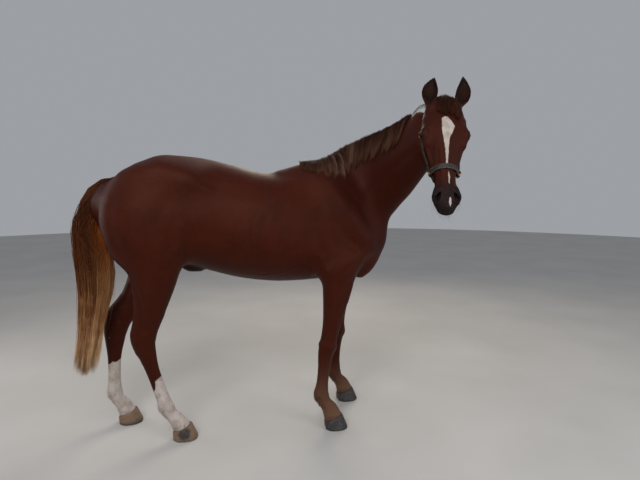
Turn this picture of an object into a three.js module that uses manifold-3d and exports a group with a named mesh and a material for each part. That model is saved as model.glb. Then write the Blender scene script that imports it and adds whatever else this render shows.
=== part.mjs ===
// A standing chestnut Arabian colt with its head turned to its right, wearing a leather headcollar.
// Millimetres, +X towards the chest, +Y towards the left side, +Z up, soles on Z = 0.
// Flesh is one smooth field, blended from tapered tubes along the bones and muscles, and each
// named part is a piece of that field, parted from its neighbours by thin cuts.
import * as THREE from "three";
import { mergeVertices } from "three/addons/utils/BufferGeometryUtils.js";
import Module from "manifold-3d";

const wasm = await Module();
wasm.setup();

// ---------------------------------------------------------------- driving dimensions

const withersHeight = 1480; // ground to withers
const mm = withersHeight / 1480; // every size below is given for a 1480 mm horse and scales with it
const gap = 0.3; // between touching parts

const vec = (x, y, z) => new THREE.Vector3(x, y, z);
const forward = vec(1, 0, 0);
const left = vec(0, 1, 0);
const up = vec(0, 0, 1);
const degree = Math.PI / 180;

// The part of a direction that is square to another, at unit length.
const square = (way, axis) => way.clone().addScaledVector(axis, -way.dot(axis)).normalize();

// ---------------------------------------------------------------- the field of flesh

// A tapered tube through rows of [x, y, z, side, front, back]: half sizes of its oval section, with
// front towards `facing` and back away from it. Returns a signed distance with its reach as a box.
const stepsPerRow = 4;
function tube(rows, facing, blend, frame = new THREE.Matrix4()) {
  const turned = facing.clone().transformDirection(frame);
  const placed = rows.map(([x, y, z, ...sizes]) => {
    const p = vec(x * mm, y * mm, z * mm).applyMatrix4(frame);
    return [p.x, p.y, p.z, ...sizes.map((s) => s * mm)];
  });
  const dense = [];
  for (let i = 0; i < placed.length - 1; i++) {
    const rowAt = (k) => placed[Math.min(Math.max(k, 0), placed.length - 1)];
    const [a, b, c, d] = [rowAt(i - 1), placed[i], placed[i + 1], rowAt(i + 2)];
    for (let s = 0; s < stepsPerRow; s++) {
      const t = s / stepsPerRow;
      dense.push(b.map((_, k) => catmull(a[k], b[k], c[k], d[k], t)));
    }
  }
  dense.push(placed[placed.length - 1]);
  const centres = dense.map((row) => vec(row[0], row[1], row[2]));
  const frames = centres.map((_, i) => {
    const before = centres[Math.max(i - 1, 0)];
    const after = centres[Math.min(i + 1, centres.length - 1)];
    const along = after.clone().sub(before).normalize();
    const front = square(turned, along);
    return { along, front, side: front.clone().cross(along) };
  });
  const reach = Math.max(...dense.map((row) => Math.max(row[3], row[4], row[5])));
  const box = new THREE.Box3().setFromPoints(centres).expandByScalar(reach);
  const last = dense.length - 2;

  function distance(x, y, z) {
    let best = Infinity;
    let at = 0;
    let share = 0;
    for (let i = 0; i <= last; i++) {
      const a = dense[i];
      const b = dense[i + 1];
      const [abx, aby, abz] = [b[0] - a[0], b[1] - a[1], b[2] - a[2]];
      const along = (x - a[0]) * abx + (y - a[1]) * aby + (z - a[2]) * abz;
      const t = Math.min(Math.max(along / (abx * abx + aby * aby + abz * abz), 0), 1);
      const [dx, dy, dz] = [x - a[0] - t * abx, y - a[1] - t * aby, z - a[2] - t * abz];
      const d = dx * dx + dy * dy + dz * dz;
      if (d < best) {
        best = d;
        at = i;
        share = t;
      }
    }
    const a = dense[at];
    const b = dense[at + 1];
    const row = a.map((v, k) => v + (b[k] - v) * share);
    const [wx, wy, wz] = [x - row[0], y - row[1], z - row[2]];
    const dotWith = (key) => {
      const u = frames[at][key];
      const v = frames[at + 1][key];
      return (
        wx * (u.x + (v.x - u.x) * share) + wy * (u.y + (v.y - u.y) * share) + wz * (u.z + (v.z - u.z) * share)
      );
    };
    const s = dotWith("side");
    const f = dotWith("front");
    const half = f > 0 ? row[4] : row[5];
    const beyond = (at === 0 && share === 0) || (at === last && share === 1);
    const e = beyond ? dotWith("along") : 0;
    const cap = Math.min(row[3], half);
    const span = Math.hypot(s, f, e);
    const ratio = Math.hypot(s / row[3], f / half, e / cap);
    return ratio < 1e-6 ? -cap : span * (1 - 1 / ratio);
  }
  return { distance, box, blend: blend * mm };
}

function catmull(a, b, c, d, t) {
  return b + 0.5 * t * (c - a + t * (2 * a - 5 * b + 4 * c - d + t * (3 * (b - c) + d - a)));
}

// The same rows on the left and the right side.
const bothSides = (rows, facing, blend, frame) =>
  [1, -1].map((side) => {
    const placed = rows.map(([x, y, ...rest]) => [x, side * y, ...rest]);
    return tube(placed, facing, blend, frame);
  });

// Smooth union of the masses.
const faraway = 400 * mm;
function fleshOf(masses) {
  const away = (part, x, y, z) => {
    const { min, max } = part.box;
    return Math.hypot(
      Math.max(min.x - x, 0, x - max.x),
      Math.max(min.y - y, 0, y - max.y),
      Math.max(min.z - z, 0, z - max.z),
    );
  };
  return (x, y, z) => {
    let d = faraway;
    for (const part of masses) {
      if (away(part, x, y, z) > d + part.blend) continue;
      const e = part.distance(x, y, z);
      const h = Math.max(part.blend - Math.abs(d - e), 0) / part.blend;
      d = Math.min(d, e) - (h * h * part.blend) / 4;
    }
    return d;
  };
}

// ---------------------------------------------------------------- trunk

// Rows along the barrel: x, top line, belly line, half width.
const barrel = [
  [-745, 1425, 1150, 84],
  [-665, 1474, 1040, 160],
  [-550, 1508, 970, 210],
  [-430, 1524, 945, 230],
  [-300, 1516, 928, 224],
  [-160, 1483, 888, 226],
  [-20, 1446, 848, 240],
  [120, 1430, 826, 243],
  [250, 1442, 822, 230],
  [370, 1466, 828, 205],
  [490, 1440, 848, 178],
  [590, 1370, 880, 156],
  [665, 1270, 950, 120],
];
const bellyShare = 0.46; // height of the widest line, as a share of the depth from the belly
const trunkRows = barrel.map(([x, top, belly, half]) => {
  const middle = belly + (top - belly) * bellyShare;
  return [x, 0, middle, half, top - middle, middle - belly];
});
const trunk = [
  tube(trunkRows, up, 60),
  // withers
  tube(
    [
      [180, 0, 1420, 40, 22, 60],
      [300, 0, 1440, 38, 42, 60],
      [400, 0, 1440, 36, 48, 60],
      [520, 0, 1450, 34, 40, 60],
    ], up, 70),
  // shoulder blades, down to the points of the shoulder
  ...bothSides(
    [
      [335, 70, 1400, 70, 34, 40],
      [420, 110, 1310, 94, 44, 60],
      [510, 136, 1200, 96, 50, 70],
      [600, 136, 1085, 72, 50, 70],
      [642, 118, 1035, 50, 44, 60],
    ],
    left, 60),
  // upper arms, back to the elbows
  ...bothSides(
    [
      [615, 114, 1030, 60, 50, 70],
      [530, 138, 950, 72, 44, 80],
      [440, 138, 905, 60, 40, 70],
      [405, 133, 895, 44, 34, 60],
    ], left, 50),
  // triceps
  ...bothSides(
    [
      [430, 130, 1180, 70, 40, 60],
      [430, 138, 1060, 82, 46, 60],
      [425, 140, 950, 60, 44, 60],
    ], left, 60),
  // breast
  ...bothSides(
    [
      [560, 60, 1240, 84, 90, 70],
      [668, 66, 1100, 74, 96, 70],
      [660, 68, 1000, 66, 88, 70],
      [628, 68, 925, 56, 80, 60],
      [600, 66, 885, 44, 66, 50],
    ], forward, 50),
  // points of the hips
  ...bothSides([[-450, 100, 1440, 100, 56, 90], [-305, 118, 1392, 88, 54, 90]], up, 90),
];

// ---------------------------------------------------------------- legs

// Rows down each leg: x, y, z, half width, half depth to the front and to the back.
const hindRight = [
  [-540, -105, 1370, 92, 160, 150],
  [-555, -128, 1240, 104, 190, 200],
  [-535, -140, 1110, 104, 186, 204],
  [-508, -143, 1000, 94, 160, 180],
  [-505, -141, 910, 80, 126, 138],
  [-525, -136, 810, 64, 108, 94],
  [-545, -131, 710, 51, 88, 72],
  [-562, -127, 625, 43, 70, 64],
  [-570, -125, 555, 42, 62, 62],
  [-558, -125, 495, 34, 48, 54],
  [-532, -127, 400, 26, 33, 41],
  [-503, -129, 300, 25, 31, 37],
  [-480, -130, 225, 28, 34, 39],
  [-466, -131, 182, 33, 39, 45],
  [-445, -132, 140, 29, 35, 38],
  [-412, -133, 100, 34, 42, 42],
  [-384, -133, 50, 41, 46, 50],
];
const hindLeft = [
  [-540, 105, 1370, 92, 160, 150],
  [-560, 128, 1240, 104, 190, 196],
  [-555, 140, 1110, 104, 190, 190],
  [-545, 143, 1000, 94, 170, 158],
  [-565, 139, 900, 78, 132, 118],
  [-615, 132, 800, 61, 92, 88],
  [-678, 125, 700, 49, 72, 68],
  [-735, 120, 615, 43, 66, 62],
  [-764, 118, 550, 42, 66, 60],
  [-770, 117, 490, 34, 56, 52],
  [-773, 116, 400, 26, 38, 40],
  [-776, 116, 300, 25, 33, 37],
  [-778, 116, 230, 28, 35, 39],
  [-779, 116, 187, 33, 40, 45],
  [-762, 116, 143, 29, 35, 40],
  [-732, 116, 103, 34, 41, 46],
  [-708, 116, 50, 41, 46, 52],
];
const foreRight = [
  [474, -128, 980, 71, 112, 86],
  [468, -142, 890, 68, 108, 84],
  [460, -148, 800, 60, 92, 76],
  [450, -152, 700, 51, 71, 65],
  [437, -154, 600, 42, 54, 54],
  [422, -155, 520, 38, 45, 49],
  [412, -156, 465, 43, 50, 52],
  [402, -158, 415, 34, 39, 47],
  [394, -160, 340, 26, 31, 40],
  [386, -162, 270, 25, 30, 39],
  [380, -164, 228, 29, 35, 42],
  [376, -165, 195, 34, 40, 46],
  [397, -168, 150, 29, 34, 41],
  [426, -171, 110, 34, 40, 50],
  [450, -174, 50, 42, 48, 58],
];
const foreLeft = [
  [532, 128, 980, 72, 128, 90],
  [538, 133, 890, 70, 118, 100],
  [536, 134, 800, 62, 108, 92],
  [534, 137, 700, 52, 84, 68],
  [535, 140, 600, 43, 57, 50],
  [537, 143, 520, 38, 45, 43],
  [537, 146, 463, 43, 49, 46],
  [532, 150, 415, 34, 39, 42],
  [529, 155, 340, 26, 31, 35],
  [527, 160, 270, 25, 30, 34],
  [526, 164, 225, 29, 35, 40],
  [525, 167, 190, 34, 40, 46],
  [546, 171, 147, 29, 34, 40],
  [577, 174, 108, 34, 40, 48],
  [601, 177, 50, 42, 48, 54],
];
// Point of the hock with the tendon above and below it; the tendon starts inside the leg.
const hockPoint = (x, y, z, start) =>
  tube(
    [
      [x + start, y, z + 120, 14, 18, 20],
      [x + 30, y, z + 40, 17, 20, 21],
      [x + 24, y, z, 20, 23, 24],
      [x + 50, y, z - 75, 20, 24, 26],
    ],
    forward, 30);
const legs = [
  tube(hindRight, forward, 90),
  tube(hindLeft, forward, 90),
  tube(foreRight, forward, 60),
  tube(foreLeft, forward, 60),
  hockPoint(-634, -125, 572, 66),
  hockPoint(-824, 118, 606, 108),
];

// ---------------------------------------------------------------- neck

// Rows up the neck: centre, half width, half depth to the crest and to the throat.
const neckRows = [
  [430, 0, 1230, 150, 212, 250],
  [535, 0, 1285, 134, 240, 265],
  [635, -16, 1350, 114, 256, 245],
  [722, -80, 1418, 98, 240, 220],
  [788, -180, 1482, 87, 210, 194],
  [830, -290, 1545, 78, 176, 164],
  [860, -395, 1605, 72, 148, 136],
];
const neck = [tube(neckRows, up, 70)];

// ---------------------------------------------------------------- head

// The head's own frame: origin at the poll, x down the face to the lips, y to its left, z out of the forehead.
const poll = vec(907, -520, 1764).multiplyScalar(mm);
const headTurn = -108; // degrees from the body's line, seen from above
const headTilt = 30; // of the face from upright, nose forward
const headTwist = -5; // about the face's own line
const headFrame = new THREE.Matrix4()
  .makeTranslation(poll.x, poll.y, poll.z)
  .multiply(new THREE.Matrix4().makeRotationZ(headTurn * degree))
  .multiply(new THREE.Matrix4().makeRotationY((90 - headTilt) * degree))
  .multiply(new THREE.Matrix4().makeRotationX(headTwist * degree));

const inHead = (rows, facing, blend) => tube(rows, facing, blend, headFrame);
const bothInHead = (rows, facing, blend) => bothSides(rows, facing, blend, headFrame);
const head = [
  // skull and face
  inHead(
    [
      [-5, 0, -62, 58, 50, 60],
      [40, 0, -56, 77, 58, 70],
      [100, 0, -56, 88, 64, 75],
      [160, 0, -58, 87, 62, 75],
      [230, 0, -63, 69, 53, 64],
      [310, 0, -70, 56, 45, 52],
      [385, 0, -76, 48, 39, 44],
      [440, 0, -79, 50, 38, 42],
      [492, 0, -82, 52, 36, 44],
      [528, 0, -88, 44, 30, 38],
    ],
    up, 30),
  // lower jaw
  ...bothInHead(
    [
      [70, 34, -140, 26, 50, 40],
      [130, 38, -165, 30, 60, 58],
      [200, 36, -165, 28, 60, 56],
      [290, 26, -150, 24, 44, 36],
      [380, 14, -137, 24, 30, 26],
      [455, 10, -132, 27, 26, 24],
      [500, 6, -126, 29, 24, 24],
    ],
    up, 30),
  // cheeks
  ...bothInHead(
    [
      [120, 55, -118, 24, 50, 54],
      [190, 60, -122, 28, 62, 68],
      [262, 52, -118, 24, 50, 52],
      [318, 42, -112, 18, 34, 36],
    ], up, 30),
  // brows over the eyes
  ...bothInHead(
    [
      [112, 66, -38, 26, 25, 28],
      [160, 87, -44, 29, 28, 30],
      [210, 80, -56, 22, 20, 24],
    ], up, 26),
  // cheek bones
  ...bothInHead(
    [
      [210, 79, -66, 12, 12, 14],
      [290, 64, -82, 12, 11, 14],
      [345, 52, -88, 9, 9, 11],
    ], up, 20),
  // nostrils
  ...bothInHead(
    [
      [448, 38, -68, 20, 22, 22],
      [482, 47, -71, 21, 23, 26],
      [505, 42, -76, 18, 20, 24],
    ], up, 18),
  // lips
  ...bothInHead(
    [
      [448, 35, -108, 14, 14, 10],
      [495, 35, -106, 16, 16, 12],
      [532, 16, -104, 15, 16, 14],
    ], up, 18),
  // roots of the ears, and the temples under them
  ...bothInHead([[-4, 40, -44, 28, 26, 28], [12, 54, -30, 24, 22, 24]], up, 30),
  ...bothInHead([[4, 54, -52, 24, 22, 26], [48, 68, -50, 27, 24, 30], [96, 75, -48, 26, 24, 28]], up, 28),
];

// ---------------------------------------------------------------- dock of the tail

const dockRows = [
  [-690, 0, 1395, 44, 40, 40],
  [-762, 0, 1398, 36, 30, 34],
  [-828, 0, 1352, 29, 25, 27],
  [-872, 0, 1285, 25, 22, 23],
  [-897, 0, 1210, 21, 18, 19],
  [-906, 0, 1130, 15, 13, 13],
];
const dock = [tube(dockRows, up, 40)];

const body = fleshOf([...trunk, ...legs, ...neck, ...head]);
const tailCore = fleshOf(dock);

// ---------------------------------------------------------------- from the field to solids

// Surface nets over a box of the field, in a frame of its own: one vertex in each cell that the
// surface passes through, moved on to the surface, and one quad across each edge that it cuts.
const flatness = 0.06; // how far merged facets may leave the surface, as a share of a cell
function polygonise(field, low, high, cell, frame = new THREE.Matrix4()) {
  const [from, to, size] = [low, high, cell].map((a) => a.map((v) => v * mm));
  const count = size.map((step, k) => Math.ceil((to[k] - from[k]) / step) + 1);
  const [nx, ny, nz] = count;
  const at = (i, j, k) => i + nx * (j + ny * k);
  const point = (...n) => vec(...n.map((v, q) => from[q] + v * size[q])).applyMatrix4(frame);
  const outside = Math.min(...size) / 2; // the value on the box's own faces, which close the solid
  const values = new Float64Array(nx * ny * nz).fill(outside);
  for (let k = 1; k < nz - 1; k++)
    for (let j = 1; j < ny - 1; j++)
      for (let i = 1; i < nx - 1; i++) {
        const p = point(i, j, k);
        values[at(i, j, k)] = field(p.x, p.y, p.z);
      }
  const vertices = [];
  const cellVertex = new Int32Array(nx * ny * nz).fill(-1);
  const steps = [[1, 0, 0], [0, 1, 0], [0, 0, 1]];
  for (let k = 0; k < nz - 1; k++)
    for (let j = 0; j < ny - 1; j++)
      for (let i = 0; i < nx - 1; i++) {
        const sum = vec(0, 0, 0);
        let hits = 0;
        for (const [a, step] of steps.entries())
          for (const u of [0, 1])
            for (const v of [0, 1]) {
              const c = [i, j, k];
              c[(a + 1) % 3] += u;
              c[(a + 2) % 3] += v;
              const d = c.map((n, q) => n + step[q]);
              const [f, g] = [values[at(...c)], values[at(...d)]];
              if (f < 0 === g < 0) continue;
              sum.add(point(...c).lerp(point(...d), f / (f - g)));
              hits++;
            }
        if (!hits) continue;
        sum.divideScalar(hits);
        const onBox = [i, j, k].some((n, q) => n === 0 || n === count[q] - 2);
        if (!onBox) settle(field, sum, Math.min(...size) * 0.4);
        cellVertex[at(i, j, k)] = vertices.length / 3;
        vertices.push(sum.x, sum.y, sum.z);
      }
  const triangles = [];
  for (let k = 0; k < nz - 1; k++)
    for (let j = 0; j < ny - 1; j++)
      for (let i = 0; i < nx - 1; i++)
        for (const [a, step] of steps.entries()) {
          const inside = values[at(i, j, k)] < 0;
          if (inside === values[at(i + step[0], j + step[1], k + step[2])] < 0) continue;
          const ring = [[0, 0], [1, 0], [1, 1], [0, 1]].map(([u, v]) => {
            const c = [i, j, k];
            c[(a + 1) % 3] -= u;
            c[(a + 2) % 3] -= v;
            return cellVertex[at(...c)];
          });
          if (!inside) ring.reverse();
          pushQuad(triangles, vertices, ring);
        }
  return solidFrom(vertices, triangles).simplify(flatness * Math.min(...size));
}

// Moves a point on to the surface along the field's slope, by at most `limit` a step.
function settle(field, p, limit) {
  for (let n = 0; n < 2; n++) {
    const slope = slopeOf(field, p);
    const step = -field(p.x, p.y, p.z) / Math.max(slope.length(), 0.3);
    p.addScaledVector(slope.normalize(), THREE.MathUtils.clamp(step, -limit, limit));
  }
  return p;
}

function slopeOf(field, p) {
  const e = 1.5 * mm;
  return vec(
    field(p.x + e, p.y, p.z) - field(p.x - e, p.y, p.z),
    field(p.x, p.y + e, p.z) - field(p.x, p.y - e, p.z),
    field(p.x, p.y, p.z + e) - field(p.x, p.y, p.z - e),
  ).divideScalar(2 * e);
}

// Where a straight path from outside first meets the surface, or null.
function landing(field, from, direction, reach = 500 * mm) {
  const p = from.clone();
  for (let gone = 0; gone < reach; ) {
    const d = field(p.x, p.y, p.z);
    if (d < 0.05) return p;
    const step = Math.max(d * 0.7, 0.2);
    p.addScaledVector(direction, step);
    gone += step;
  }
  return null;
}

// A quad as two triangles, split along its shorter diagonal.
function pushQuad(triangles, vertices, [a, b, c, d]) {
  const apart = (p, q) => Math.hypot(...[0, 1, 2].map((k) => vertices[3 * p + k] - vertices[3 * q + k]));
  if (apart(a, c) <= apart(b, d)) triangles.push(a, b, c, a, c, d);
  else triangles.push(a, b, d, b, c, d);
}

// A solid from a closed mesh, turned so that its faces point out.
function solidFrom(vertices, triangles) {
  let volume = 0;
  const corner = (n) => vec(...[0, 1, 2].map((k) => vertices[3 * triangles[n] + k]));
  for (let n = 0; n < triangles.length; n += 3) volume += corner(n).dot(corner(n + 1).cross(corner(n + 2)));
  const outward = volume < 0 ? triangles.slice().reverse() : triangles;
  const mesh = { numProp: 3, vertProperties: new Float32Array(vertices), triVerts: new Uint32Array(outward) };
  return new wasm.Manifold(new wasm.Mesh(mesh));
}

// A three.js geometry, placed by a matrix, as a solid.
function solidOf(geometry, matrix) {
  const bare = new THREE.BufferGeometry().setAttribute("position", geometry.toNonIndexed().attributes.position);
  const merged = mergeVertices(bare.applyMatrix4(matrix), 1e-4);
  return solidFrom(Array.from(merged.attributes.position.array), Array.from(merged.index.array));
}

// A solid through rings of points, closed at both ends, or round into itself. Each end is closed
// between the two halves of its ring, so that a ring may be bent into a cup.
function loft(rings, closed = false) {
  const sides = rings[0].length;
  const vertices = rings.flat().flatMap((p) => p.toArray());
  const triangles = [];
  const spans = closed ? rings.length : rings.length - 1;
  for (let i = 0; i < spans; i++)
    for (let j = 0; j < sides; j++) {
      const next = (i + 1) % rings.length;
      const k = (j + 1) % sides;
      pushQuad(triangles, vertices, [i * sides + j, i * sides + k, next * sides + k, next * sides + j]);
    }
  const end = (rings.length - 1) * sides;
  for (let j = 0, k = sides - 1; !closed && j < k - 1; j++, k--) {
    triangles.push(j, k, j + 1, end + j, end + j + 1, end + k);
    if (j + 1 < k - 1) triangles.push(j + 1, k, k - 1, end + j + 1, end + k - 1, end + k);
  }
  return solidFrom(vertices, triangles);
}

// Rings along a path. `section` gives each ring's points as [across, out] from the path's point.
function ringsAlong(points, outs, section, closed = false) {
  const last = points.length - 1;
  const near = (i) => points[closed ? (i + points.length) % points.length : THREE.MathUtils.clamp(i, 0, last)];
  return points.map((p, i) => {
    const along = near(i + 1).clone().sub(near(i - 1)).normalize();
    const out = square(outs[i], along);
    const across = out.clone().cross(along);
    return section(i).map(([a, o]) => p.clone().addScaledVector(across, a * mm).addScaledVector(out, o * mm));
  });
}

const oval = (half, thick, sides) =>
  Array.from({ length: sides }, (_, k) => {
    const a = (2 * Math.PI * k) / sides;
    return [half * Math.cos(a), thick * Math.sin(a)];
  });

// A block whose front face stands at `point`, square to `normal`, with the block behind it.
function blockBehind(point, normal, width, depth = width) {
  const n = normal.clone().normalize();
  const matrix = new THREE.Matrix4().compose(
    point.clone().addScaledVector(n, -depth / 2),
    new THREE.Quaternion().setFromUnitVectors(up, n),
    vec(1, 1, 1),
  );
  return solidOf(new THREE.BoxGeometry(width, width, depth), matrix);
}

function blockBetween(low, high) {
  const [a, b] = [low, high].map((p) => vec(...p).multiplyScalar(mm));
  const size = b.clone().sub(a);
  const middle = a.clone().add(b).divideScalar(2);
  return solidOf(new THREE.BoxGeometry(...size.toArray()), new THREE.Matrix4().setPosition(middle));
}

// The same solid with its skin moved out by `amount`, for cutting a clear seat in a neighbour.
function swollen(solid, amount = gap) {
  const { vertProperties, triVerts } = solid.getMesh();
  const geometry = new THREE.BufferGeometry()
    .setAttribute("position", new THREE.BufferAttribute(vertProperties.slice(), 3))
    .setIndex(new THREE.BufferAttribute(triVerts.slice(), 1));
  geometry.computeVertexNormals();
  const { position, normal } = geometry.attributes;
  const vertices = Array.from(position.array, (v, k) => v + normal.array[k] * amount * 1.3);
  return solidFrom(vertices, Array.from(triVerts));
}

// The largest closed surface, without the slivers that cuts leave.
const sliver = 0.12 * mm;
const biggest = (solid) => solid.decompose().sort((a, b) => b.volume() - a.volume())[0];
const largest = (solid) => biggest(parted(biggest(solid.simplify(sliver))));

// Moves corners that share one place apart, each towards the middle of its own neighbours.
const touch = 0.004 * mm;
const partedBy = 0.05 * mm;
function parted(solid) {
  const { vertProperties, triVerts } = solid.getMesh();
  const corner = (v) => vec(...vertProperties.subarray(3 * v, 3 * v + 3));
  const places = new Map();
  for (let v = 0; v < vertProperties.length / 3; v++) {
    const place = corner(v).toArray().map((c) => Math.round(c / touch)).join();
    places.set(place, [...(places.get(place) ?? []), v]);
  }
  const shared = [...places.values()].filter((group) => group.length > 1).flat();
  const vertices = Array.from(vertProperties);
  for (const v of shared) {
    const sum = vec(0, 0, 0);
    for (let n = 0; n < triVerts.length; n += 3) {
      const triangle = triVerts.subarray(n, n + 3);
      if (!triangle.includes(v)) continue;
      for (const other of triangle) sum.add(corner(other).sub(corner(v)));
    }
    corner(v).addScaledVector(sum.normalize(), partedBy).toArray(vertices, 3 * v);
  }
  return solidFrom(vertices, Array.from(triVerts));
}
const join = (first, others) => others.reduce((sum, solid) => sum.add(solid), first);

// A flat lock of hair along a path, its width and thickness tapered alike.
const leastThick = 1.7;
const lock = (points, outs, taper, half, thick) =>
  loft(ringsAlong(points, outs, (i) => oval(half * taper[i], Math.max(thick * taper[i], leastThick), 4)));

let seed = 7;
function draw(low, high) {
  seed = (seed * 16807) % 2147483647;
  return low + ((high - low) * seed) / 2147483647;
}

// ---------------------------------------------------------------- materials

const paint = (color, roughness, metalness = 0) => new THREE.MeshStandardMaterial({ color, roughness, metalness });
const coat = paint(0x4a1c10, 0.55);
const legCoat = paint(0x5a2a17, 0.6);
const stocking = paint(0xb9aea4, 0.7);
const foreHoof = paint(0x2a2624, 0.55);
const hindHoof = paint(0x8f7559, 0.55);
const tailHair = paint(0x5e2b12, 0.6);
const earCoat = paint(0x2a120c, 0.7);
const eyeball = paint(0x0a0708, 0.08);
const leather = paint(0x17110f, 0.5);
const brass = paint(0x8a7a55, 0.35, 0.9);
const darkSkin = paint(0x17110f, 0.6);

const nodes = []; // [name, solid, material]

// ---------------------------------------------------------------- cuts between the parts

const neckRoot = { point: vec(560, 0, 1300).multiplyScalar(mm), normal: vec(0.677, 0, 0.736).normalize() };
const headRoot = {
  point: vec(10, -64, -106).multiplyScalar(mm).applyMatrix4(headFrame),
  normal: vec(-0.625, -0.625, -0.469).normalize().transformDirection(headFrame),
};
const neckWide = 900 * mm;

// The block on the near or the far side of a cut, reaching half the gap past it.
const nearSide = ({ point, normal }, width) =>
  blockBehind(point.clone().addScaledVector(normal, gap / 2), normal, width);
const farSide = ({ point, normal }, width) => nearSide({ point, normal: normal.clone().negate() }, width);

// The space of the head: before its cut and above the throat.
const throat = -258; // of the head's frame
function headSpace(grow) {
  const [low, high] = [vec(-200, -300, throat - grow), vec(640, 300, 120)];
  const size = high.clone().sub(low).multiplyScalar(mm);
  const middle = low.clone().add(high).multiplyScalar(mm / 2);
  const box = new THREE.BoxGeometry(...size.toArray());
  const shift = headRoot.normal.clone().multiplyScalar(grow);
  const behind = farSide({ point: headRoot.point.clone().add(shift), normal: headRoot.normal }, neckWide);
  return solidOf(box, headFrame.clone().multiply(new THREE.Matrix4().setPosition(middle))).subtract(behind);
}

// Each leg's part of the flesh, and the height of its knee or hock.
const legCuts = {
  hind_right: { low: [-830, -400, 20], high: [-290, -40, 905], joint: 545 },
  hind_left: { low: [-860, 40, 20], high: [-290, 400, 905], joint: 575 },
  fore_right: { low: [300, -400, 20], high: [720, -58, 820], joint: 500 },
  fore_left: { low: [300, 58, 20], high: [740, 400, 820], joint: 500 },
};

// ---------------------------------------------------------------- torso and sheath

let torso = polygonise(body, [-860, -330, 780], [800, 330, 1600], [66, 50, 48]);
torso = torso.subtract(farSide(neckRoot, neckWide));
for (const { low, high } of Object.values(legCuts)) {
  const around = [low.map((v) => v - gap), high.map((v) => v + gap)];
  torso = torso.subtract(blockBetween(...around));
}
torso = largest(torso);
nodes.push(["torso", torso, coat]);

const sheathMiddle = vec(-318, 0, 918);
const sheathSize = vec(62, 34, 40);
const sheathShape = new THREE.Matrix4().compose(
  sheathMiddle.clone().multiplyScalar(mm),
  new THREE.Quaternion().setFromAxisAngle(left, 8 * degree),
  sheathSize.clone().multiplyScalar(mm),
);
const sheath = solidOf(new THREE.SphereGeometry(1, 10, 6), sheathShape).subtract(swollen(torso));
nodes.push(["sheath", largest(sheath), darkSkin]);

// ---------------------------------------------------------------- legs and hooves

// Coronets: the slanted line where a hoof begins. x, y of its middle, and the way the toe points.
const coronets = {
  hind_right: { x: -392, y: -133, toe: -4 },
  hind_left: { x: -718, y: 116, toe: 5 },
  fore_right: { x: 437, y: -173, toe: -3 },
  fore_left: { x: 588, y: 176, toe: 4 },
};
const coronetHeight = 62;
const coronetSlant = 0.38; // rise towards the toe
const hoofSides = 14;
const heelShare = 0.92;

// Hoof: rings from the sole to the coronet, each with its middle, half length and half width.
function hoof({ x, y, toe }) {
  const turn = new THREE.Matrix4().makeRotationZ(toe * degree).setPosition(x * mm, y * mm, 0);
  const rings = [
    { rise: 0, ahead: 17, long: 70, wide: 60 },
    { rise: 0.09, ahead: 16, long: 70, wide: 60 },
    { rise: 0.85, ahead: 3, long: 57, wide: 49 },
    { rise: 1, ahead: 0, long: 52, wide: 44 },
  ];
  return loft(
    rings.map(({ rise, ahead, long, wide }) =>
      Array.from({ length: hoofSides }, (_, k) => {
        const a = (2 * Math.PI * k) / hoofSides;
        const along = long * Math.cos(a) * (Math.cos(a) < 0 ? heelShare : 1);
        const z = rise * (coronetHeight + coronetSlant * along);
        return vec(ahead + along, wide * Math.sin(a), z).multiplyScalar(mm).applyMatrix4(turn);
      }),
    ),
  );
}

for (const [name, { low, high, joint }] of Object.entries(legCuts)) {
  const { x, y, toe } = coronets[name];
  const slant = vec(-coronetSlant, 0, 1).normalize().applyAxisAngle(up, toe * degree);
  const coronet = blockBehind(vec(x, y, coronetHeight + gap).multiplyScalar(mm), slant, 240 * mm);
  const over = [high[0] + 40, high[1] + 40, high[2] + 80];
  const under = [low[0] - 40, low[1] - 40, low[2]];
  const upper = polygonise(body, [under[0], under[1], joint - 90], over, [38, 31, 50])
    .intersect(blockBetween([low[0], low[1], joint + gap], high));
  const lower = polygonise(body, under, [over[0], over[1], joint + 70], [20, 18, 35])
    .intersect(blockBetween(low, [high[0], high[1], joint]))
    .subtract(coronet);
  const hind = name.startsWith("hind");
  nodes.push([`${name}_upper`, largest(upper), coat]);
  nodes.push([`${name}_lower`, largest(lower), hind ? stocking : legCoat]);
  nodes.push([`${name}_hoof`, hoof(coronets[name]), hind ? hindHoof : foreHoof]);
}

// ---------------------------------------------------------------- neck with its mane

const neckAlone = largest(
  polygonise(body, [280, -640, 1060], [1060, 220, 1880], [48, 42, 44])
    .subtract(nearSide(neckRoot, neckWide))
    .subtract(headSpace(gap)),
);

const neckLine = new THREE.CatmullRomCurve3(neckRows.map(([x, y, z]) => vec(x, y, z).multiplyScalar(mm)));
const mane = {
  locks: 11,
  from: 0.0,
  to: 0.9,
  fall: [70, 118, 160], // how far down the locks hang at the withers, half way and behind the poll
  half: 46,
  thick: 8,
  lifts: [[0.2, 3], [0.5, 4], [0.8, 6], [1, 10]], // share of the fall, height over the skin
};

function crestAt(u) {
  const middle = neckLine.getPoint(u);
  const along = neckLine.getTangent(u);
  const rise = square(up, along);
  return landing(body, middle.addScaledVector(rise, 420 * mm), rise.negate());
}

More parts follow.
